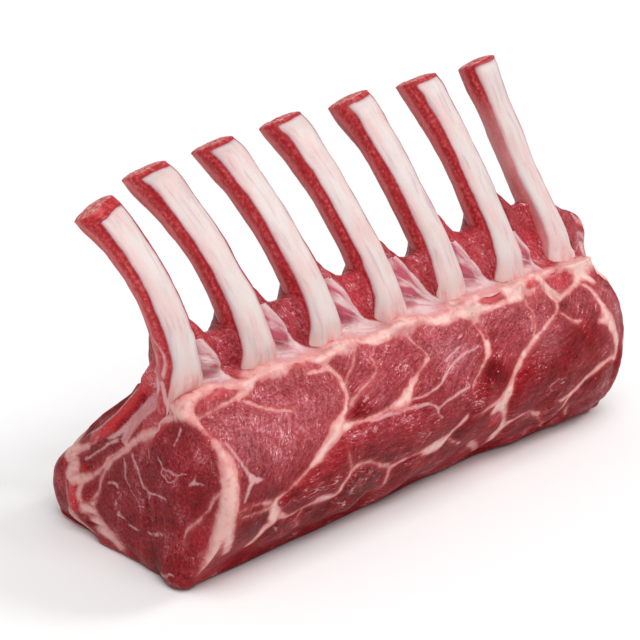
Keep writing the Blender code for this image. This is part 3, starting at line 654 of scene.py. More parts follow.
def paint_loaf(loaf):
    """The loaf's fields by name, and its relief, as rows by columns."""
    points, x, u = loaf.points, loaf.x, loaf.u
    y, z = points[..., 1], points[..., 2]
    wobble = [0.35 * noise(points, 3.0, seed) + 0.5 * noise(points, 9.0, seed + 9) for seed in (1, 2)]
    cap = loaf.on_cap
    far_cap = smooth((x - FAR_CAP) / 4.0)
    front = smooth((75.0 - u) / 2.0) * smooth((u + 34.0) / 4.0) * (1.0 - far_cap)
    heel = bump(u - 64.0, 11.0) * front * (1.0 - cap) + 0.8 * smooth((13.0 - z) / 9.0) * cap
    lumps = 0.6 * layered_noise(points, 14.0, 20) + 0.2 * layered_noise(points, 3.5, 30, 2)
    lumps = lumps * smooth(z / 3.0) + heel * 1.9 * noise(points, 11.0, 66)
    side = (x + wobble[0], u + wobble[1])
    seen = np.zeros((2,) + x.shape)
    groove = GROOVE * (1.0 - 0.55 * smooth((u - 30.0) / 12.0))
    for _ in range(5):
        deep = stroke_depth(side[0] + seen[0], side[1] + seen[1], DEEP_SEAMS)
        sunk = SUNK + groove * (np.exp(-np.maximum(0.0, -deep) / 5.0) + 0.2 * bump(np.minimum(deep, 0.0), 1.8))
        sunk = sunk * front * smooth(u / 6.0) * (1.0 - cap)
        seen = (seen + np.array(loaf.seen_through(lumps - sunk))) / 2.0
    side = (side[0] + seen[0], side[1] + seen[1])
    stray = 3.0 * far_cap
    face = (y + 0.6 * wobble[0] + stray * noise(points, 15.0, 5), z + 0.6 * wobble[1] + stray * noise(points, 15.0, 6))
    ridge = stroke_depth(*side, RIDGE_FAT)
    side_fat = np.maximum.reduce([deep, ridge, stroke_depth(*side, THIN_SEAMS), stroke_depth(*side, CORNER_FAT)])
    rib_away, _, _, _ = rib_distance(points)
    at_foot = bump(np.maximum(rib_away, 0.0), 5.0) * bump(u - 1.0, 5.0)
    side_fat = np.maximum(side_fat, 5.0 * at_foot - 2.0)
    slivers = stroke_depth(*side, SLIVERS)
    side_fat = np.minimum(side_fat, -slivers)
    face_fat = stroke_depth(*face, FACE_FAT)
    crinkle = [0.6 * noise(points, 2.6, seed) for seed in (83, 84)]
    veins = stroke_depth(face[0] + crinkle[0], face[1] + crinkle[1], FACE_VEINS)
    side_films = stroke_depth(*side, SIDE_FILMS)
    face_films = stroke_depth(*face, FACE_FILMS)

    beside_rib = smooth((FIRST_RIB + 1.0 - x) / 2.0) * smooth((z - 55.0) / 2.0)
    as_face = np.maximum.reduce([cap, beside_rib, far_cap])
    strands = stroke_depth(*face, FACE_STRANDS)
    fat = np.where(as_face > 0.5, face_fat, side_fat)
    film = np.where(as_face > 0.5, np.maximum.reduce([face_films, veins, strands]), side_films)
    fat = fat + 0.6 * noise(points, 7.0, 15) + 0.45 * noise(points, 2.2, 16) - 0.05
    web, gap = web_depth(x, z)
    on_wall = smooth((-u + 0.5) / 1.5) * (1.0 - cap)
    before_wall = np.where(loaf.up_wall >= 0, 1.0, 0.0)
    web = np.where((on_wall > 0.5) & (loaf.up_wall >= 0), np.minimum(web, -u - 0.6), -9.0)
    past, rib_front = rib_fronts(points)
    wanted = rib_front + np.interp(past, *np.array(WALL_INSETS).T)
    held = smooth(loaf.up_wall / 0.35) * smooth((1.2 - loaf.up_wall) / 0.45) * before_wall
    held *= smooth((FIRST_RIB + (RIBS - 1) * RIB_PITCH + 16.0 - x) / 8.0)
    swell = held * (y - wanted)

    web_rise = 0.5 * smooth((web + 0.3) / 1.2) * smooth(loaf.up_wall / 0.3)
    pit = -0.6 * smooth(-web / 2.0) * before_wall * smooth((rib_away - 0.3) / 2.0) * (web > -8.9)

    relief = lumps - sunk
    by_base = bump(np.maximum(rib_away, 0.0), 4.5) * bump(u - 0.5, 4.0)
    relief += (0.35 * smooth(ridge + 0.5) + by_base * (2.8 + 1.8 * noise(points, 3.5, 55))) * (1.0 - cap)
    relief += web_rise + pit
    relief += cap * (1.2 * (1.0 - np.exp(-np.maximum(0.0, -face_fat) / 6.0)) + 0.5 * smooth(face_fat / 2.0))
    for place_y, place_z, radius, height in FACE_LUMPS:
        relief += height * bump(np.hypot(y - place_y, z - place_z), radius) * cap
    bright = stroke_depth(*face, FACE_BRIGHT)
    grooves = stroke_depth(*face, FACE_GROOVES)
    edge_y = np.interp(face[1], *np.array(FACE_EDGE).T)
    relief -= cap * FOOT_ROUNDING * smooth((6.0 - z) / 6.0) * smooth((y + 25.0) / 10.0)
    relief += cap * (0.9 * smooth(bright / 2.0 + 0.5) - 1.6 * smooth(grooves / 2.0 + 0.5))
    relief -= cap * 2.2 * smooth((face[0] - edge_y) / 2.0)

    flesh = 0.5 * layered_noise(points, 22.0, 40, 2)
    for place_x, place_u, radius, amount in FLESH_SPOTS:
        flesh += amount * bump(np.hypot(side[0] - place_x, side[1] - place_u), radius) * (1.0 - cap)
    # brighter red along the bright strokes; painted shade in the grooves
    flesh += as_face * (2.2 * smooth(bright + 0.6) - 1.5 * smooth(grooves / 1.5 + 0.6))
    for place_y, place_z, radius, amount in FACE_SPOTS:
        flesh += amount * bump(np.hypot(y - place_y, z - place_z), radius) * cap

    flesh += (0.7 * bump(u - 71.0, 6.0) - 0.8 * bump(u - 47.0, 9.0)) * front * (1.0 - cap)
    # brighter red in the slivers; the recess walls behind the webs lighter, partly their paler flesh and partly painted
    # light that lifts their shade
    flesh += 0.9 * smooth(slivers + 0.3) + 0.75 * before_wall * (web < 0)

    # the back: the ribs run down it in low relief under a membrane
    down_back = np.where(loaf.behind > 0, loaf.behind, -9.0)
    rib_line = (x - FIRST_RIB + 4.0 + 0.16 * loaf.behind) / RIB_PITCH + 0.05 * noise(points, 18.0, 75)
    beside = np.abs(rib_line - np.round(rib_line)) * RIB_PITCH
    inner_rib = (5.0 - beside + noise(points, 8.0, 76)) * (rib_line > -0.4) * (rib_line < RIBS - 0.5)
    inner_rib = np.minimum.reduce([inner_rib, (BACK_RIB_LENGTH - down_back) * 0.4, (down_back - 12.0) * 0.5])
    inner_rib = np.where((down_back > 0) & (as_face < 0.5), inner_rib, -9.0)
    relief += 1.4 * smooth((inner_rib + 3.0) / 5.0)
    back_fat = 2.5 * layered_noise(points, 12.0, 77) + 0.12 * (down_back - BACK_FAT_START)
    fat = np.where((down_back > 0) & (as_face < 0.5), np.minimum(back_fat, 1.5), fat)
    shift = loaf.normals * relief[..., None] + swell[..., None] * np.array([0.0, -1.0, 0.15])

    # fibres: the map turned so that the first value runs along them, and bent from place to place
    seam = np.interp(side[1], *np.array(FIRST_SEAM).T)
    lower = np.where(side[0] < FAR_MUSCLES, LOWER_FIBRES, FAR_FIBRES)
    others = np.where(side[1] < np.interp(side[0], *np.array(MIDDLE_SEAM).T), UPPER_FIBRES, lower)
    degrees = np.where(side[0] < seam, FIRST_FIBRES, others)
    turn = np.radians(degrees)
    zones = degrees + 500.0 * before_wall * (1 + gap) + 9000.0 * (np.maximum(cap, far_cap) > 0.5)
    joins = np.zeros(x.shape)  # 1 on both sides of a change of grain
    for axis in (0, 1):
        for step in (-1, 1):
            joins = np.maximum(joins, np.roll(zones, step, axis) != zones)
    bends = [7.0 * noise(points, 26.0, seed) for seed in (70, 71)]
    along = x * np.cos(turn) + u * np.sin(turn) + bends[0]
    across = -x * np.sin(turn) + u * np.cos(turn) + bends[1]
    grain = np.stack([along, across, 0.05 * z], -1)
    pole_x = FIRST_RIB + (gap + 1) * RIB_PITCH - 6.0
    fan = np.stack([np.hypot(x - pole_x, z - 57.0), 14.0 * np.arctan2(z - 57.0, pole_x - x), gap * 7.0], -1)
    grain = np.where((before_wall > 0)[..., None], fan, grain)
    end_on = np.stack([3.75 * y, z, 0.0 * z], -1)  # fibres cut across: no direction
    grain = np.where((np.maximum(cap, far_cap) > 0.5)[..., None], end_on, grain)
    # painted sheen, by height on the front and a little on the recess walls
    sheen = np.interp(side[1], *np.array(SHEEN_BY_U).T) * (0.85 + 0.3 * noise(points, 13.0, 81))
    for place_x, place_u, radius, amount in SHEEN_SPOTS:
        sheen += amount * bump(np.hypot(side[0] - place_x, side[1] - place_u), radius)
    sheen = np.maximum(sheen, 0.0) * front * (1.0 - cap) * (u > -1.0) + 0.25 * before_wall * (web < 0) * (u <= -1.0)
    granular = np.clip(cap + 0.4 * smooth((seam - side[0]) / 3.0) * front + 0.6 * before_wall * (web < 0) + bump(np.hypot(x + 2.5, u - 8.0), 6.0), 0.0, 1.0)
    fields = {
        "fat": fat, "film": film, "web": web, "hem": smooth((63.0 - z) / 5.0) * before_wall, "flesh": flesh, "granular": granular,
        "grain": grain, "inner_rib": inner_rib, "sheen": sheen, "joins": joins,
    }
    return fields, shift


# --- building the meshes -----------------------------------------------------------------------
def grid_mesh(name, points, first_pole, last_pole, fields, pole_fields):
    """A closed mesh from a grid whose columns close into rings, drawn to a pole at each end."""
    rows, columns = points.shape[:2]
    index = np.arange(rows * columns).reshape(rows, columns)
    after = np.roll(index, -1, axis=1)
    quads = np.stack([index[:-1], index[1:], after[1:], after[:-1]], -1).reshape(-1, 4)
    first, last = rows * columns, rows * columns + 1
    fans = [(first, index[0, j], after[0, j]) for j in range(columns)]
    fans += [(last, after[-1, j], index[-1, j]) for j in range(columns)]
    vertices = np.vstack([points.reshape(-1, 3), first_pole, last_pole])
    mesh = bpy.data.meshes.new(name)
    mesh.from_pydata(to_frame(vertices).tolist(), [], quads.tolist() + [list(map(int, fan)) for fan in fans])

    steps = np.linalg.norm(np.diff(points, axis=0), axis=2).mean(1)
    down = np.concatenate([[0.0], np.cumsum(steps)]) + 1.0
    round_steps = np.linalg.norm(np.roll(points, -1, axis=1) - points, axis=2).mean(0)
    over = np.concatenate([[0.0], np.cumsum(round_steps)])
    down, over = down / (down[-1] + 1.0), over / over[-1]
    layer = mesh.uv_layers.new(name="OFBake")
    row, column = np.divmod(np.arange((rows - 1) * columns), columns)
    corners = [(row, column), (row + 1, column), (row + 1, column + 1), (row, column + 1)]
    quad_uvs = np.stack([np.stack([over[c], down[r]], -1) for r, c in corners], 1).reshape(-1, 2)
    fan_uvs = []
    for j in range(columns):
        fan_uvs += [((over[j] + over[j + 1]) / 2, 0.0), (over[j], down[0]), (over[j + 1], down[0])]
    for j in range(columns):
        fan_uvs += [((over[j] + over[j + 1]) / 2, 1.0), (over[j + 1], down[-1]), (over[j], down[-1])]
    layer.data.foreach_set("uv", np.concatenate([quad_uvs, np.array(fan_uvs)]).ravel())

    for field, values in fields.items():
        poles = pole_fields.get(field, [values[0].mean(0), values[-1].mean(0)])
        flat = np.concatenate([values.reshape(rows * columns, -1), np.reshape(poles, (2, -1))])
        kind, key = ("FLOAT_VECTOR", "vector") if flat.shape[1] == 3 else ("FLOAT", "value")
        attribute = mesh.attributes.new(field, kind, "POINT")
        attribute.data.foreach_set(key, flat.astype(np.float32).ravel())
    mesh.shade_smooth()
    mesh.validate()
    piece = bpy.data.objects.new(name, mesh)
    bpy.context.scene.collection.objects.link(piece)
    return piece


def loaf_shift():
    """From the loaf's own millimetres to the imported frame's."""
    low, high = (np.array(corner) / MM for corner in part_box("meat"))
    own = LOAF.points.reshape(-1, 3)
    middle = (low + high) / 2 - (own.min(0) + own.max(0)) / 2
    return np.array([low[0] - own[:, 0].min(), middle[1], 0.0])


def to_frame(points):
    return (np.asarray(points) + SHIFT) * MM


LOAF = Loaf()
SHIFT = loaf_shift()


def make_meat():
    fields, shift = paint_loaf(LOAF)
    points = LOAF.points + shift
    points[..., 2] = np.maximum(points[..., 2], 0.0)
    middle_y, middle_z = SECTION_CENTRE
    first = lean_cut(np.array(NEAR_END), np.array(middle_y), np.array(middle_z)) + shift[0].mean(0)
    last = np.array([FAR_END, middle_y, middle_z]) + shift[-1].mean(0)
    piece = grid_mesh("loin", points, first, last, fields, {})
    piece.data.materials.append(meat_material())
    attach(piece, "root")
    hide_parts("meat")


def make_rib(number):
    places = np.linspace(0.0, 1.0, RIB_RINGS)
    angles = np.arange(RIB_SIDES) / RIB_SIDES * 2.0 * math.pi
    rings = []
    for t in places:
        middle, _, side, across = (np.array(list(v)) for v in rib_frame(number, t))
        middle = middle - side * LEFT_SHIFT * smooth((t - 0.3) / 0.3) * min(number, 1)
        half = rib_half_sizes(number, t)
        reach = rib_reach(angles)[:, None]
        rings.append(middle + side * (np.cos(angles)[:, None] * reach * half[0])
                     + across * (np.sin(angles)[:, None] * reach * half[1]))
    points = np.array(rings)
    length = np.linalg.norm(np.array(rib_middle(number, 1.0)) - np.array(rib_middle(number, 0.0)))
    place = places[:, None] + np.zeros((RIB_RINGS, RIB_SIDES))
    angle = angles[None, :] + np.zeros((RIB_RINGS, RIB_SIDES))
    relief = 0.35 * layered_noise(points * [1, 0.35, 0.35], 4.0, 60 + number, 3)
    points = points + grid_normals(points) * relief[..., None]

    # the cut tip: a small round, then a nearly flat face
    middle, facing, side, _ = (np.array(list(v)) for v in rib_frame(number, 1.0))
    middle = middle - side * LEFT_SHIFT * min(number, 1)
    tips = []
    for step in range(1, TIP_RINGS + 1):
        share = 1.0 - step / (TIP_RINGS + 0.6)
        inner = middle + (points[-1] - middle) * share
        lift = 0.7 * (1.0 - share ** 6) + 0.35 * layered_noise(inner, 2.2, 80 + number, 2) * (1 - share)
        tips.append(inner + facing * lift[:, None] if np.ndim(lift) else inner + facing * lift)
    points = np.concatenate([points, tips])
    rows = len(points)
    marrow = np.full((rows, RIB_SIDES), -9.0)
    for step in range(TIP_RINGS):
        share = 1.0 - (step + 1) / (TIP_RINGS + 0.6)
        marrow[RIB_RINGS + step] = (1.0 - share) * 6.0 - 1.0
    marrow[RIB_RINGS - 1] = -1.0
    place = np.vstack([place, np.ones((TIP_RINGS, RIB_SIDES))])
    angle = np.vstack([angle, np.tile(angles, (TIP_RINGS, 1))])
    # red flanks on the sides, the white face between them, red flesh round the cut
    turned = np.degrees(np.angle(np.exp(1j * (angle + math.pi / 2))))
    wander = 5.0 * noise(points, 12.0, 90 + number) + 2.0 * noise(points, 4.0, 95 + number)
    rise = points[..., 2] - RIDGE_HEIGHT
    left_edge = -50.0 + 4.0 * place - 14.0 * smooth((12.0 - rise) / 10.0)
    right_edge = 40.0 + 70.0 * smooth((21.0 - rise) / 9.0)
    white = np.minimum(turned - left_edge, right_edge - turned) + wander
    back = np.where(turned > 0.0, turned, -turned - 22.0) - 130.0 + wander
    white = np.maximum(white, back) / 10.0
    collar = COLLARS[number] * (1.0 + 0.5 * noise(points, 5.0, 99 + number)) - (1.0 - place) * length
    white = np.where(place > 0.7, np.minimum(white, -collar), white)
    film, bright = np.full(place.shape, -9.0), np.full(place.shape, -9.0)
    if number == 0:
        flank = (turned < -20.0) & (points[..., 2] < 85.0)
        fading = 3.0 * smooth((turned + 45.0) / 25.0)
        flank_map = (points[..., 1], points[..., 2])
        film = np.where(flank, stroke_depth(*flank_map, FACE_STRANDS + FACE_FILMS + FACE_FAT[-4:-1]) - fading, -9.0)
        bright = np.where(flank, stroke_depth(*flank_map, FACE_BRIGHT) - fading, -9.0)
    grain = np.stack([place * length, np.degrees(angle) * 0.1, np.full_like(place, number * 9.0)], -1)
    pale = np.full(place.shape, 0.8 if number == RIBS - 1 else 0.0) * smooth((0.9 - place) / 0.15)
    webbed = smooth((turned - 22.0) / 40.0) * smooth((20.0 - rise) / 8.0) * (number < RIBS - 1)
    fields = {"white": white, "pale": pale, "webbed": webbed, "place": place, "marrow": marrow, "grain": grain, "rise": rise,
              "film": film, "bright": bright}
    piece = grid_mesh(f"rib_bone_{number + 1}", points, np.array(rib_middle(number, 0.0)), middle + facing * 0.8,
                      fields, {"marrow": [-9.0, 5.0]})
    piece.data.materials.append(RIB_MATERIAL)
    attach(piece, "root")
    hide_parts(f"rib_{number + 1}")


# --- materials ---------------------------------------------------------------------------------
def srgb(red, green, blue):
    """A colour given as 0 to 255 display values, as linear ones."""
    def linear(value):
        value /= 255.0
        return value / 12.92 if value <= 0.04045 else ((value + 0.055) / 1.055) ** 2.4
    return (linear(red), linear(green), linear(blue), 1.0)


class Nodes:
    """A short way to write a material's nodes; values may be numbers or outputs of other nodes."""

    def __init__(self, name):
        self.material = bpy.data.materials.new(name)
        self.material.use_nodes = True
        self.tree = self.material.node_tree
        self.shader = self.tree.nodes["Principled BSDF"]

    def put(self, socket, value):
        if isinstance(value, bpy.types.NodeSocket):
            self.tree.links.new(value, socket)
        else:
            socket.default_value = value

    def attribute(self, name, output="Fac"):
        node = self.tree.nodes.new("ShaderNodeAttribute")
        node.attribute_name = name
        return node.outputs[output]

    def place(self, scale):
        """The place on the piece, in units of scale millimetres."""
        node = self.tree.nodes.new("ShaderNodeTexCoord")
        return self.stretch(node.outputs["Object"], (1.0 / (scale * MM),) * 3)

    def stretch(self, vector, factors):
        node = self.tree.nodes.new("ShaderNodeVectorMath")
        node.operation = "MULTIPLY"
        self.put(node.inputs[0], vector)
        self.put(node.inputs[1], factors)
        return node.outputs[0]

    def noise(self, vector, detail=2.0, roughness=0.5, distortion=0.0):
        node = self.tree.nodes.new("ShaderNodeTexNoise")
        self.put(node.inputs["Vector"], vector)
        node.inputs["Scale"].default_value = 1.0
        node.inputs["Detail"].default_value = detail
        node.inputs["Roughness"].default_value = roughness
        node.inputs["Distortion"].default_value = distortion
        return node.outputs["Fac"]

    def math(self, operation, first, second=0.0, third=0.0):
        node = self.tree.nodes.new("ShaderNodeMath")
        node.operation = operation
        for socket, value in zip(node.inputs, (first, second, third)):
            self.put(socket, value)
        return node.outputs[0]

    def add(self, *values):
        total = values[0]
        for value in values[1:]:
            total = self.math("ADD", total, value)
        return total

    def times(self, first, second):
        return self.math("MULTIPLY", first, second)

    def ease(self, value, start, end, low=0.0, high=1.0):
        node = self.tree.nodes.new("ShaderNodeMapRange")
        node.interpolation_type = "SMOOTHSTEP"
        for name, setting in (("Value", value), ("From Min", start), ("From Max", end),
                              ("To Min", low), ("To Max", high)):
            self.put(node.inputs[name], setting)
        return node.outputs["Result"]

    def blend(self, share, first, second):
        node = self.tree.nodes.new("ShaderNodeMix")
        node.data_type = "RGBA"
        node.clamp_factor = True
        self.put(node.inputs[0], share)
        self.put(node.inputs[6], first)
        self.put(node.inputs[7], second)
        return node.outputs[2]

    def ramp(self, value, stops):
        node = self.tree.nodes.new("ShaderNodeValToRGB")
        ramp = node.color_ramp
        while len(ramp.elements) < len(stops):
            ramp.elements.new(0.5)
        for element, (position, colour) in zip(ramp.elements, stops):
            element.position = position
            element.color = colour
        self.put(node.inputs[0], value)
        return node.outputs["Color"]

    def bump(self, height, depth):
        """Relief finer than the mesh, depth millimetres deep."""
        node = self.tree.nodes.new("ShaderNodeBump")
        node.inputs["Strength"].default_value = 1.0
        node.inputs["Distance"].default_value = depth * MM
        self.put(node.inputs["Height"], height)
        self.put(self.shader.inputs["Normal"], node.outputs["Normal"])

    def finish(self, colour, roughness, subsurface, coat, coat_roughness=0.16):
        inputs = self.shader.inputs
        self.put(inputs["Base Color"], colour)
        self.put(inputs["Roughness"], roughness)
        inputs["Subsurface Weight"].default_value = subsurface
        inputs["Subsurface Radius"].default_value = (1.0, 0.35, 0.25)
        inputs["Subsurface Scale"].default_value = 1.6 * MM
        inputs["Coat Weight"].default_value = coat
        inputs["Coat Roughness"].default_value = coat_roughness
        return self.material


DARK_MEAT, MEAT, PALE_MEAT, PAINTED_SHEEN = srgb(92, 6, 10), srgb(148, 24, 32), srgb(192, 88, 102), srgb(214, 130, 140)
RED_MEAT, BRIGHT_MEAT, MARBLING_AND_GLINT = srgb(184, 30, 38), srgb(208, 54, 56), srgb(236, 190, 194)
FAT, PINK_FAT, RED_FAT = srgb(226, 186, 178), srgb(214, 144, 140), srgb(186, 72, 74)
FILM, WEB_PURPLE, WEB_WHITE = srgb(222, 166, 168), srgb(178, 82, 98), srgb(222, 190, 190)
BONE, BONE_PINK, BONE_SHADE = srgb(212, 198, 194), srgb(218, 174, 170), srgb(182, 150, 160)
FLANK, DARK_FLANK, PALE_FLANK = srgb(182, 44, 50), srgb(136, 20, 28), srgb(222, 116, 116)
PALE_RIM = srgb(216, 150, 150)
MARROW = [srgb(142, 30, 38), srgb(206, 92, 90), srgb(234, 162, 152)]


def meat_material():
    n = Nodes("wet_meat")
    grain = n.attribute("grain", "Vector")
    granular = n.attribute("granular")
    edge = n.math("SUBTRACT", n.noise(n.place(1.6), 3.0, 0.6), 0.5)

    # flesh: streaks along the fibres, paler and darker patches, a painted pink sheen, dark pits, and pale dots that are
    # painted wet glints
    strands = n.noise(n.stretch(grain, (0.24, 0.9, 1.0)), 4.0, 0.62, 0.8)
    grains = n.noise(n.place(1.0), 4.0, 0.62, 0.3)
    share = n.add(0.42, n.times(granular, 0.4))
    texture = n.add(strands, n.times(n.math("SUBTRACT", grains, strands), share))
    whole = n.math("SUBTRACT", 1.0, n.attribute("joins"))
    texture = n.add(0.5, n.times(n.math("SUBTRACT", texture, 0.5), whole))
    patches = n.math("SUBTRACT", n.noise(n.place(9.0), 3.0, 0.6), 0.5)
    sheen = n.attribute("sheen")
    level = n.add(0.42, n.times(n.attribute("flesh"), 0.12), n.times(patches, 0.7), n.times(sheen, 0.1),
                  n.times(n.math("SUBTRACT", texture, 0.5), 1.45))
    colour = n.ramp(level, [(0.1, DARK_MEAT), (0.48, MEAT), (0.9, PALE_MEAT)])
    colour = n.blend(n.ease(n.attribute("flesh"), 0.3, 1.3, 0.0, 0.6), colour, RED_MEAT)
    colour = n.blend(n.ease(n.attribute("flesh"), 1.3, 2.2, 0.0, 0.65), colour, BRIGHT_MEAT)
    # painted sheen: pink over the paler streaks where the sheen is high
    colour = n.blend(n.times(sheen, n.ease(texture, 0.42, 0.62, 0.14, 0.66)), colour, PAINTED_SHEEN)
    # painted glints: small pale dots along the fibres, more of them where the sheen is high
    dots = n.noise(n.stretch(grain, (0.9, 1.9, 1.0)), 3.0, 0.6, 0.6)
    painted_glints = n.ease(n.add(dots, n.times(patches, 0.4), n.times(n.math("SUBTRACT", strands, 0.5), 0.4),
                         n.times(sheen, 0.055)), 0.655, 0.745)
    colour = n.blend(n.times(painted_glints, n.times(whole, 0.8)), colour, MARBLING_AND_GLINT)
    # fine marbling: thin pale lines where a noise drawn out along the fibres crosses its middle
    drawn = n.noise(n.stretch(grain, (0.06, 0.16, 1.0)), 3.0, 0.6, 0.6)
    line = n.ease(n.math("ABSOLUTE", n.math("SUBTRACT", drawn, 0.5)), 0.012, 0.002)
    colour = n.blend(n.times(line, n.ease(patches, 0.02, 0.16, 0.0, 0.5)), colour, MARBLING_AND_GLINT)

    # webs of silverskin, with white streaks that fan out
    web = n.attribute("web")
    fan = n.noise(n.stretch(grain, (0.07, 0.5, 1.0)), 3.0, 0.55, 0.5)
    web_colour = n.blend(n.ease(fan, 0.40, 0.72), WEB_PURPLE, WEB_WHITE)
    web_colour = n.blend(n.ease(web, 3.2, 0.6, 0.0, 0.85), web_colour, WEB_WHITE)
    web_colour = n.blend(n.times(n.attribute("hem"), n.ease(fan, 0.25, 0.55, 0.3, 0.9)), web_colour, WEB_WHITE)
    colour = n.blend(n.ease(n.add(web, n.times(edge, 0.7)), -0.3, 0.6), colour, web_colour)

    streaky = n.times(n.math("SUBTRACT", n.noise(n.stretch(grain, (0.25, 1.2, 1.0)), 3.0), 0.5), whole)
    film = n.add(n.attribute("film"), n.times(edge, 0.7), n.times(streaky, 0.8))
    colour = n.blend(n.ease(film, -0.35, 0.55, 0.0, 0.85), colour, FILM)

    # fat, feathered into the flesh through a redder rim
    soft = n.math("SUBTRACT", n.noise(n.place(3.5), 3.0), 0.5)
    fat = n.add(n.attribute("fat"), n.times(edge, 1.3), n.times(streaky, 0.7))
    fat_colour = n.blend(n.ease(n.add(fat, n.times(soft, 4.0)), 0.2, 2.2), PINK_FAT, FAT)
    veined = n.ease(n.noise(n.place(1.8), 3.0, 0.6), 0.54, 0.74, 0.0, 0.45)
    fat_colour = n.blend(veined, fat_colour, RED_FAT)
    fat_colour = n.blend(n.times(granular, 0.35), fat_colour, PINK_FAT)
    fat_mask = n.ease(fat, -0.6, 0.6)
    colour = n.blend(n.ease(fat, -1.9, 0.0, 0.0, 0.4), colour, RED_FAT)
    colour = n.blend(n.times(fat_mask, n.ease(fat, 0.0, 1.2, 0.8, 1.0)), colour, fat_colour)

    # ribs seen through the membrane of the back
    inner = n.add(n.attribute("inner_rib"), n.times(edge, 1.5))
    inner_colour = n.blend(n.ease(streaky, -0.15, 0.15), BONE_PINK, WEB_WHITE)
    colour = n.blend(n.ease(inner, -1.5, 2.0, 0.0, 0.85), colour, inner_colour)

    height = n.add(n.times(texture, n.ease(fat_mask, 0.0, 1.0, 1.2, 0.5)), n.times(edge, 0.3), n.times(fat_mask, 0.1))
    n.bump(height, 0.8)
    n.put(n.shader.inputs["Specular IOR Level"], n.add(0.05, n.times(granular, 0.07), n.times(sheen, 0.32)))
    roughness = n.add(0.31, n.times(n.math("SUBTRACT", texture, 0.5), 0.4))
    return n.finish(colour, roughness, 0.1, 0.0)


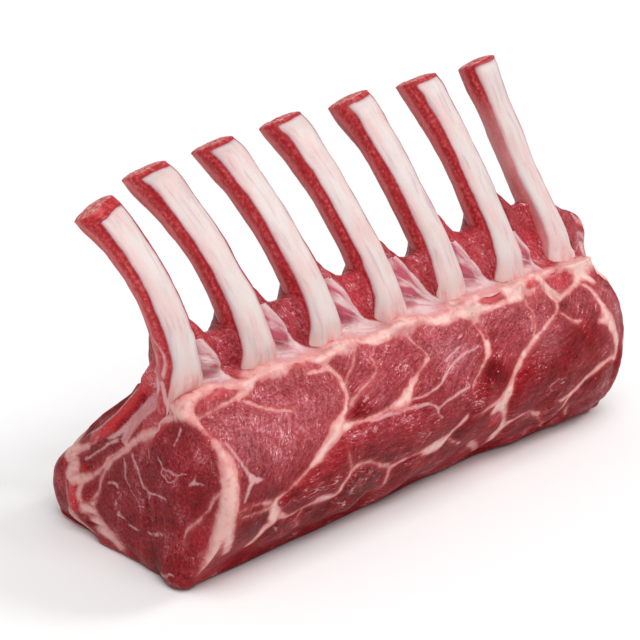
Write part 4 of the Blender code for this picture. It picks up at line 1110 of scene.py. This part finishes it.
def rib_material():
    n = Nodes("rib_bone")
    grain = n.attribute("grain", "Vector")
    edge = n.math("SUBTRACT", n.noise(n.place(2.0), 3.0, 0.6), 0.5)
    streaks = n.noise(n.stretch(grain, (0.07, 0.6, 1.0)), 4.0, 0.6, 0.4)
    spots = n.noise(n.place(1.2), 4.0, 0.6)
    clouds = n.noise(n.stretch(grain, (0.06, 0.2, 1.0)), 3.0, 0.5)
    white = n.add(n.attribute("white"), n.times(edge, 0.4))
    level = n.add(n.times(streaks, 0.4), n.times(spots, 0.6))
    flank = n.ramp(level, [(0.32, DARK_FLANK), (0.5, FLANK), (0.72, PALE_FLANK)])
    # painted rim light: the flank paler away from the white face
    flank = n.blend(n.ease(white, -3.4, -5.2, 0.0, 0.6), flank, PALE_FLANK)
    # painted shade: a dark line along the flank's edge at the white face
    flank = n.blend(n.ease(white, -1.3, -0.4, 0.0, 0.5), flank, DARK_FLANK)
    flank = n.blend(n.times(n.attribute("pale"), n.ease(clouds, 0.3, 0.6, 1.0, 0.6)), flank, PALE_RIM)
    bone = n.blend(n.ease(clouds, 0.42, 0.66, 0.0, 0.6), BONE, BONE_PINK)
    bone = n.blend(n.ease(streaks, 0.50, 0.70, 0.0, 0.5), bone, BONE_SHADE)
    # painted shade along the white face's edges
    bone = n.blend(n.ease(white, 1.2, 0.0, 0.0, 0.7), bone, BONE_SHADE)
    webbed = n.times(n.attribute("webbed"), n.ease(streaks, 0.62, 0.42, 0.3, 1.0))
    bone = n.blend(webbed, bone, WEB_PURPLE)
    rise = n.add(n.attribute("rise"), n.times(n.math("SUBTRACT", streaks, 0.5), 24.0))
    bone = n.blend(n.ease(rise, 16.0, 2.0, 0.0, 0.4), bone, BONE_PINK)
    foot_fat = n.blend(n.ease(clouds, 0.42, 0.6), FAT, PINK_FAT)
    bone = n.blend(n.ease(n.add(rise, n.times(edge, 9.0)), 8.0, 1.0, 0.0, 0.9), bone, foot_fat)
    colour = n.blend(n.ease(white, -0.35, 0.35), flank, bone)
    bright = n.ease(n.add(n.attribute("bright"), n.times(edge, 1.0)), -0.6, 0.8, 0.0, 0.8)
    colour = n.blend(bright, colour, RED_MEAT)
    film = n.ease(n.add(n.attribute("film"), n.times(edge, 0.9)), -0.35, 0.55, 0.0, 0.85)
    colour = n.blend(film, colour, FILM)
    marrow = n.attribute("marrow")
    sponge = n.ramp(spots, list(zip((0.34, 0.48, 0.64), MARROW)))
    colour = n.blend(n.ease(n.add(marrow, n.times(edge, 0.8)), -0.6, 0.2), colour, sponge)
    n.bump(n.add(n.times(streaks, 0.4), n.times(spots, 0.5)), 0.3)
    n.shader.inputs["Specular IOR Level"].default_value = 0.25
    return n.finish(colour, 0.38, 0.1, 0.0, 0.22)


# --- stage, light and camera -------------------------------------------------------------------
DISTANCE, TARGET = 0.590, (-0.01445, 0.00515, 0.055)
FOCAL_IN_FRAMES = 1830.0 / 640.0  # focal length, in widths of the picture
SENSOR = 36.0


def make_stage():
    mesh = bpy.data.meshes.new("floor")
    size = 3.0
    mesh.from_pydata([(-size, -size, 0), (size, -size, 0), (size, size, 0), (-size, size, 0)], [], [(0, 1, 2, 3)])
    floor = bpy.data.objects.new("floor", mesh)
    bpy.context.scene.collection.objects.link(floor)
    n = Nodes("pale_floor")
    n.shader.inputs["Base Color"].default_value = (0.9, 0.9, 0.9, 1.0)
    n.shader.inputs["Roughness"].default_value = 0.7
    mesh.materials.append(n.material)


def make_sun(name, strength, width, towards):
    """A far light, width degrees across, that shines from a direction."""
    data = bpy.data.lights.new(name, "SUN")
    data.energy = strength
    data.angle = math.radians(width)
    light = bpy.data.objects.new(name, data)
    light.rotation_euler = Vector(towards).to_track_quat("Z", "Y").to_euler()
    bpy.context.scene.collection.objects.link(light)


def make_world():
    world = bpy.data.worlds.new("studio")
    world.use_nodes = True
    background = world.node_tree.nodes["Background"]
    background.inputs["Color"].default_value = (1.0, 1.0, 1.0, 1.0)
    background.inputs["Strength"].default_value = 0.38
    bpy.context.scene.world = world
    bpy.context.scene.view_settings.view_transform = "Standard"


def make_camera():
    forward = Vector(VIEW)
    data = bpy.data.cameras.new("camera")
    data.sensor_width = SENSOR
    data.lens = SENSOR * FOCAL_IN_FRAMES
    camera = bpy.data.objects.new("camera", data)
    camera.location = Vector(TARGET) - forward * DISTANCE
    camera.rotation_euler = forward.to_track_quat("-Z", "Y").to_euler()
    bpy.context.scene.collection.objects.link(camera)
    bpy.context.scene.camera = camera


make_camera()
make_world()
make_stage()
make_sun("key", 2.2, 50.0, (-0.2, -0.5, 1.0))
make_sun("glint", 0.9, 14.0, (0.65, -0.42, 0.7))
make_meat()
RIB_MATERIAL = rib_material()
for rib in range(RIBS):
    make_rib(rib)
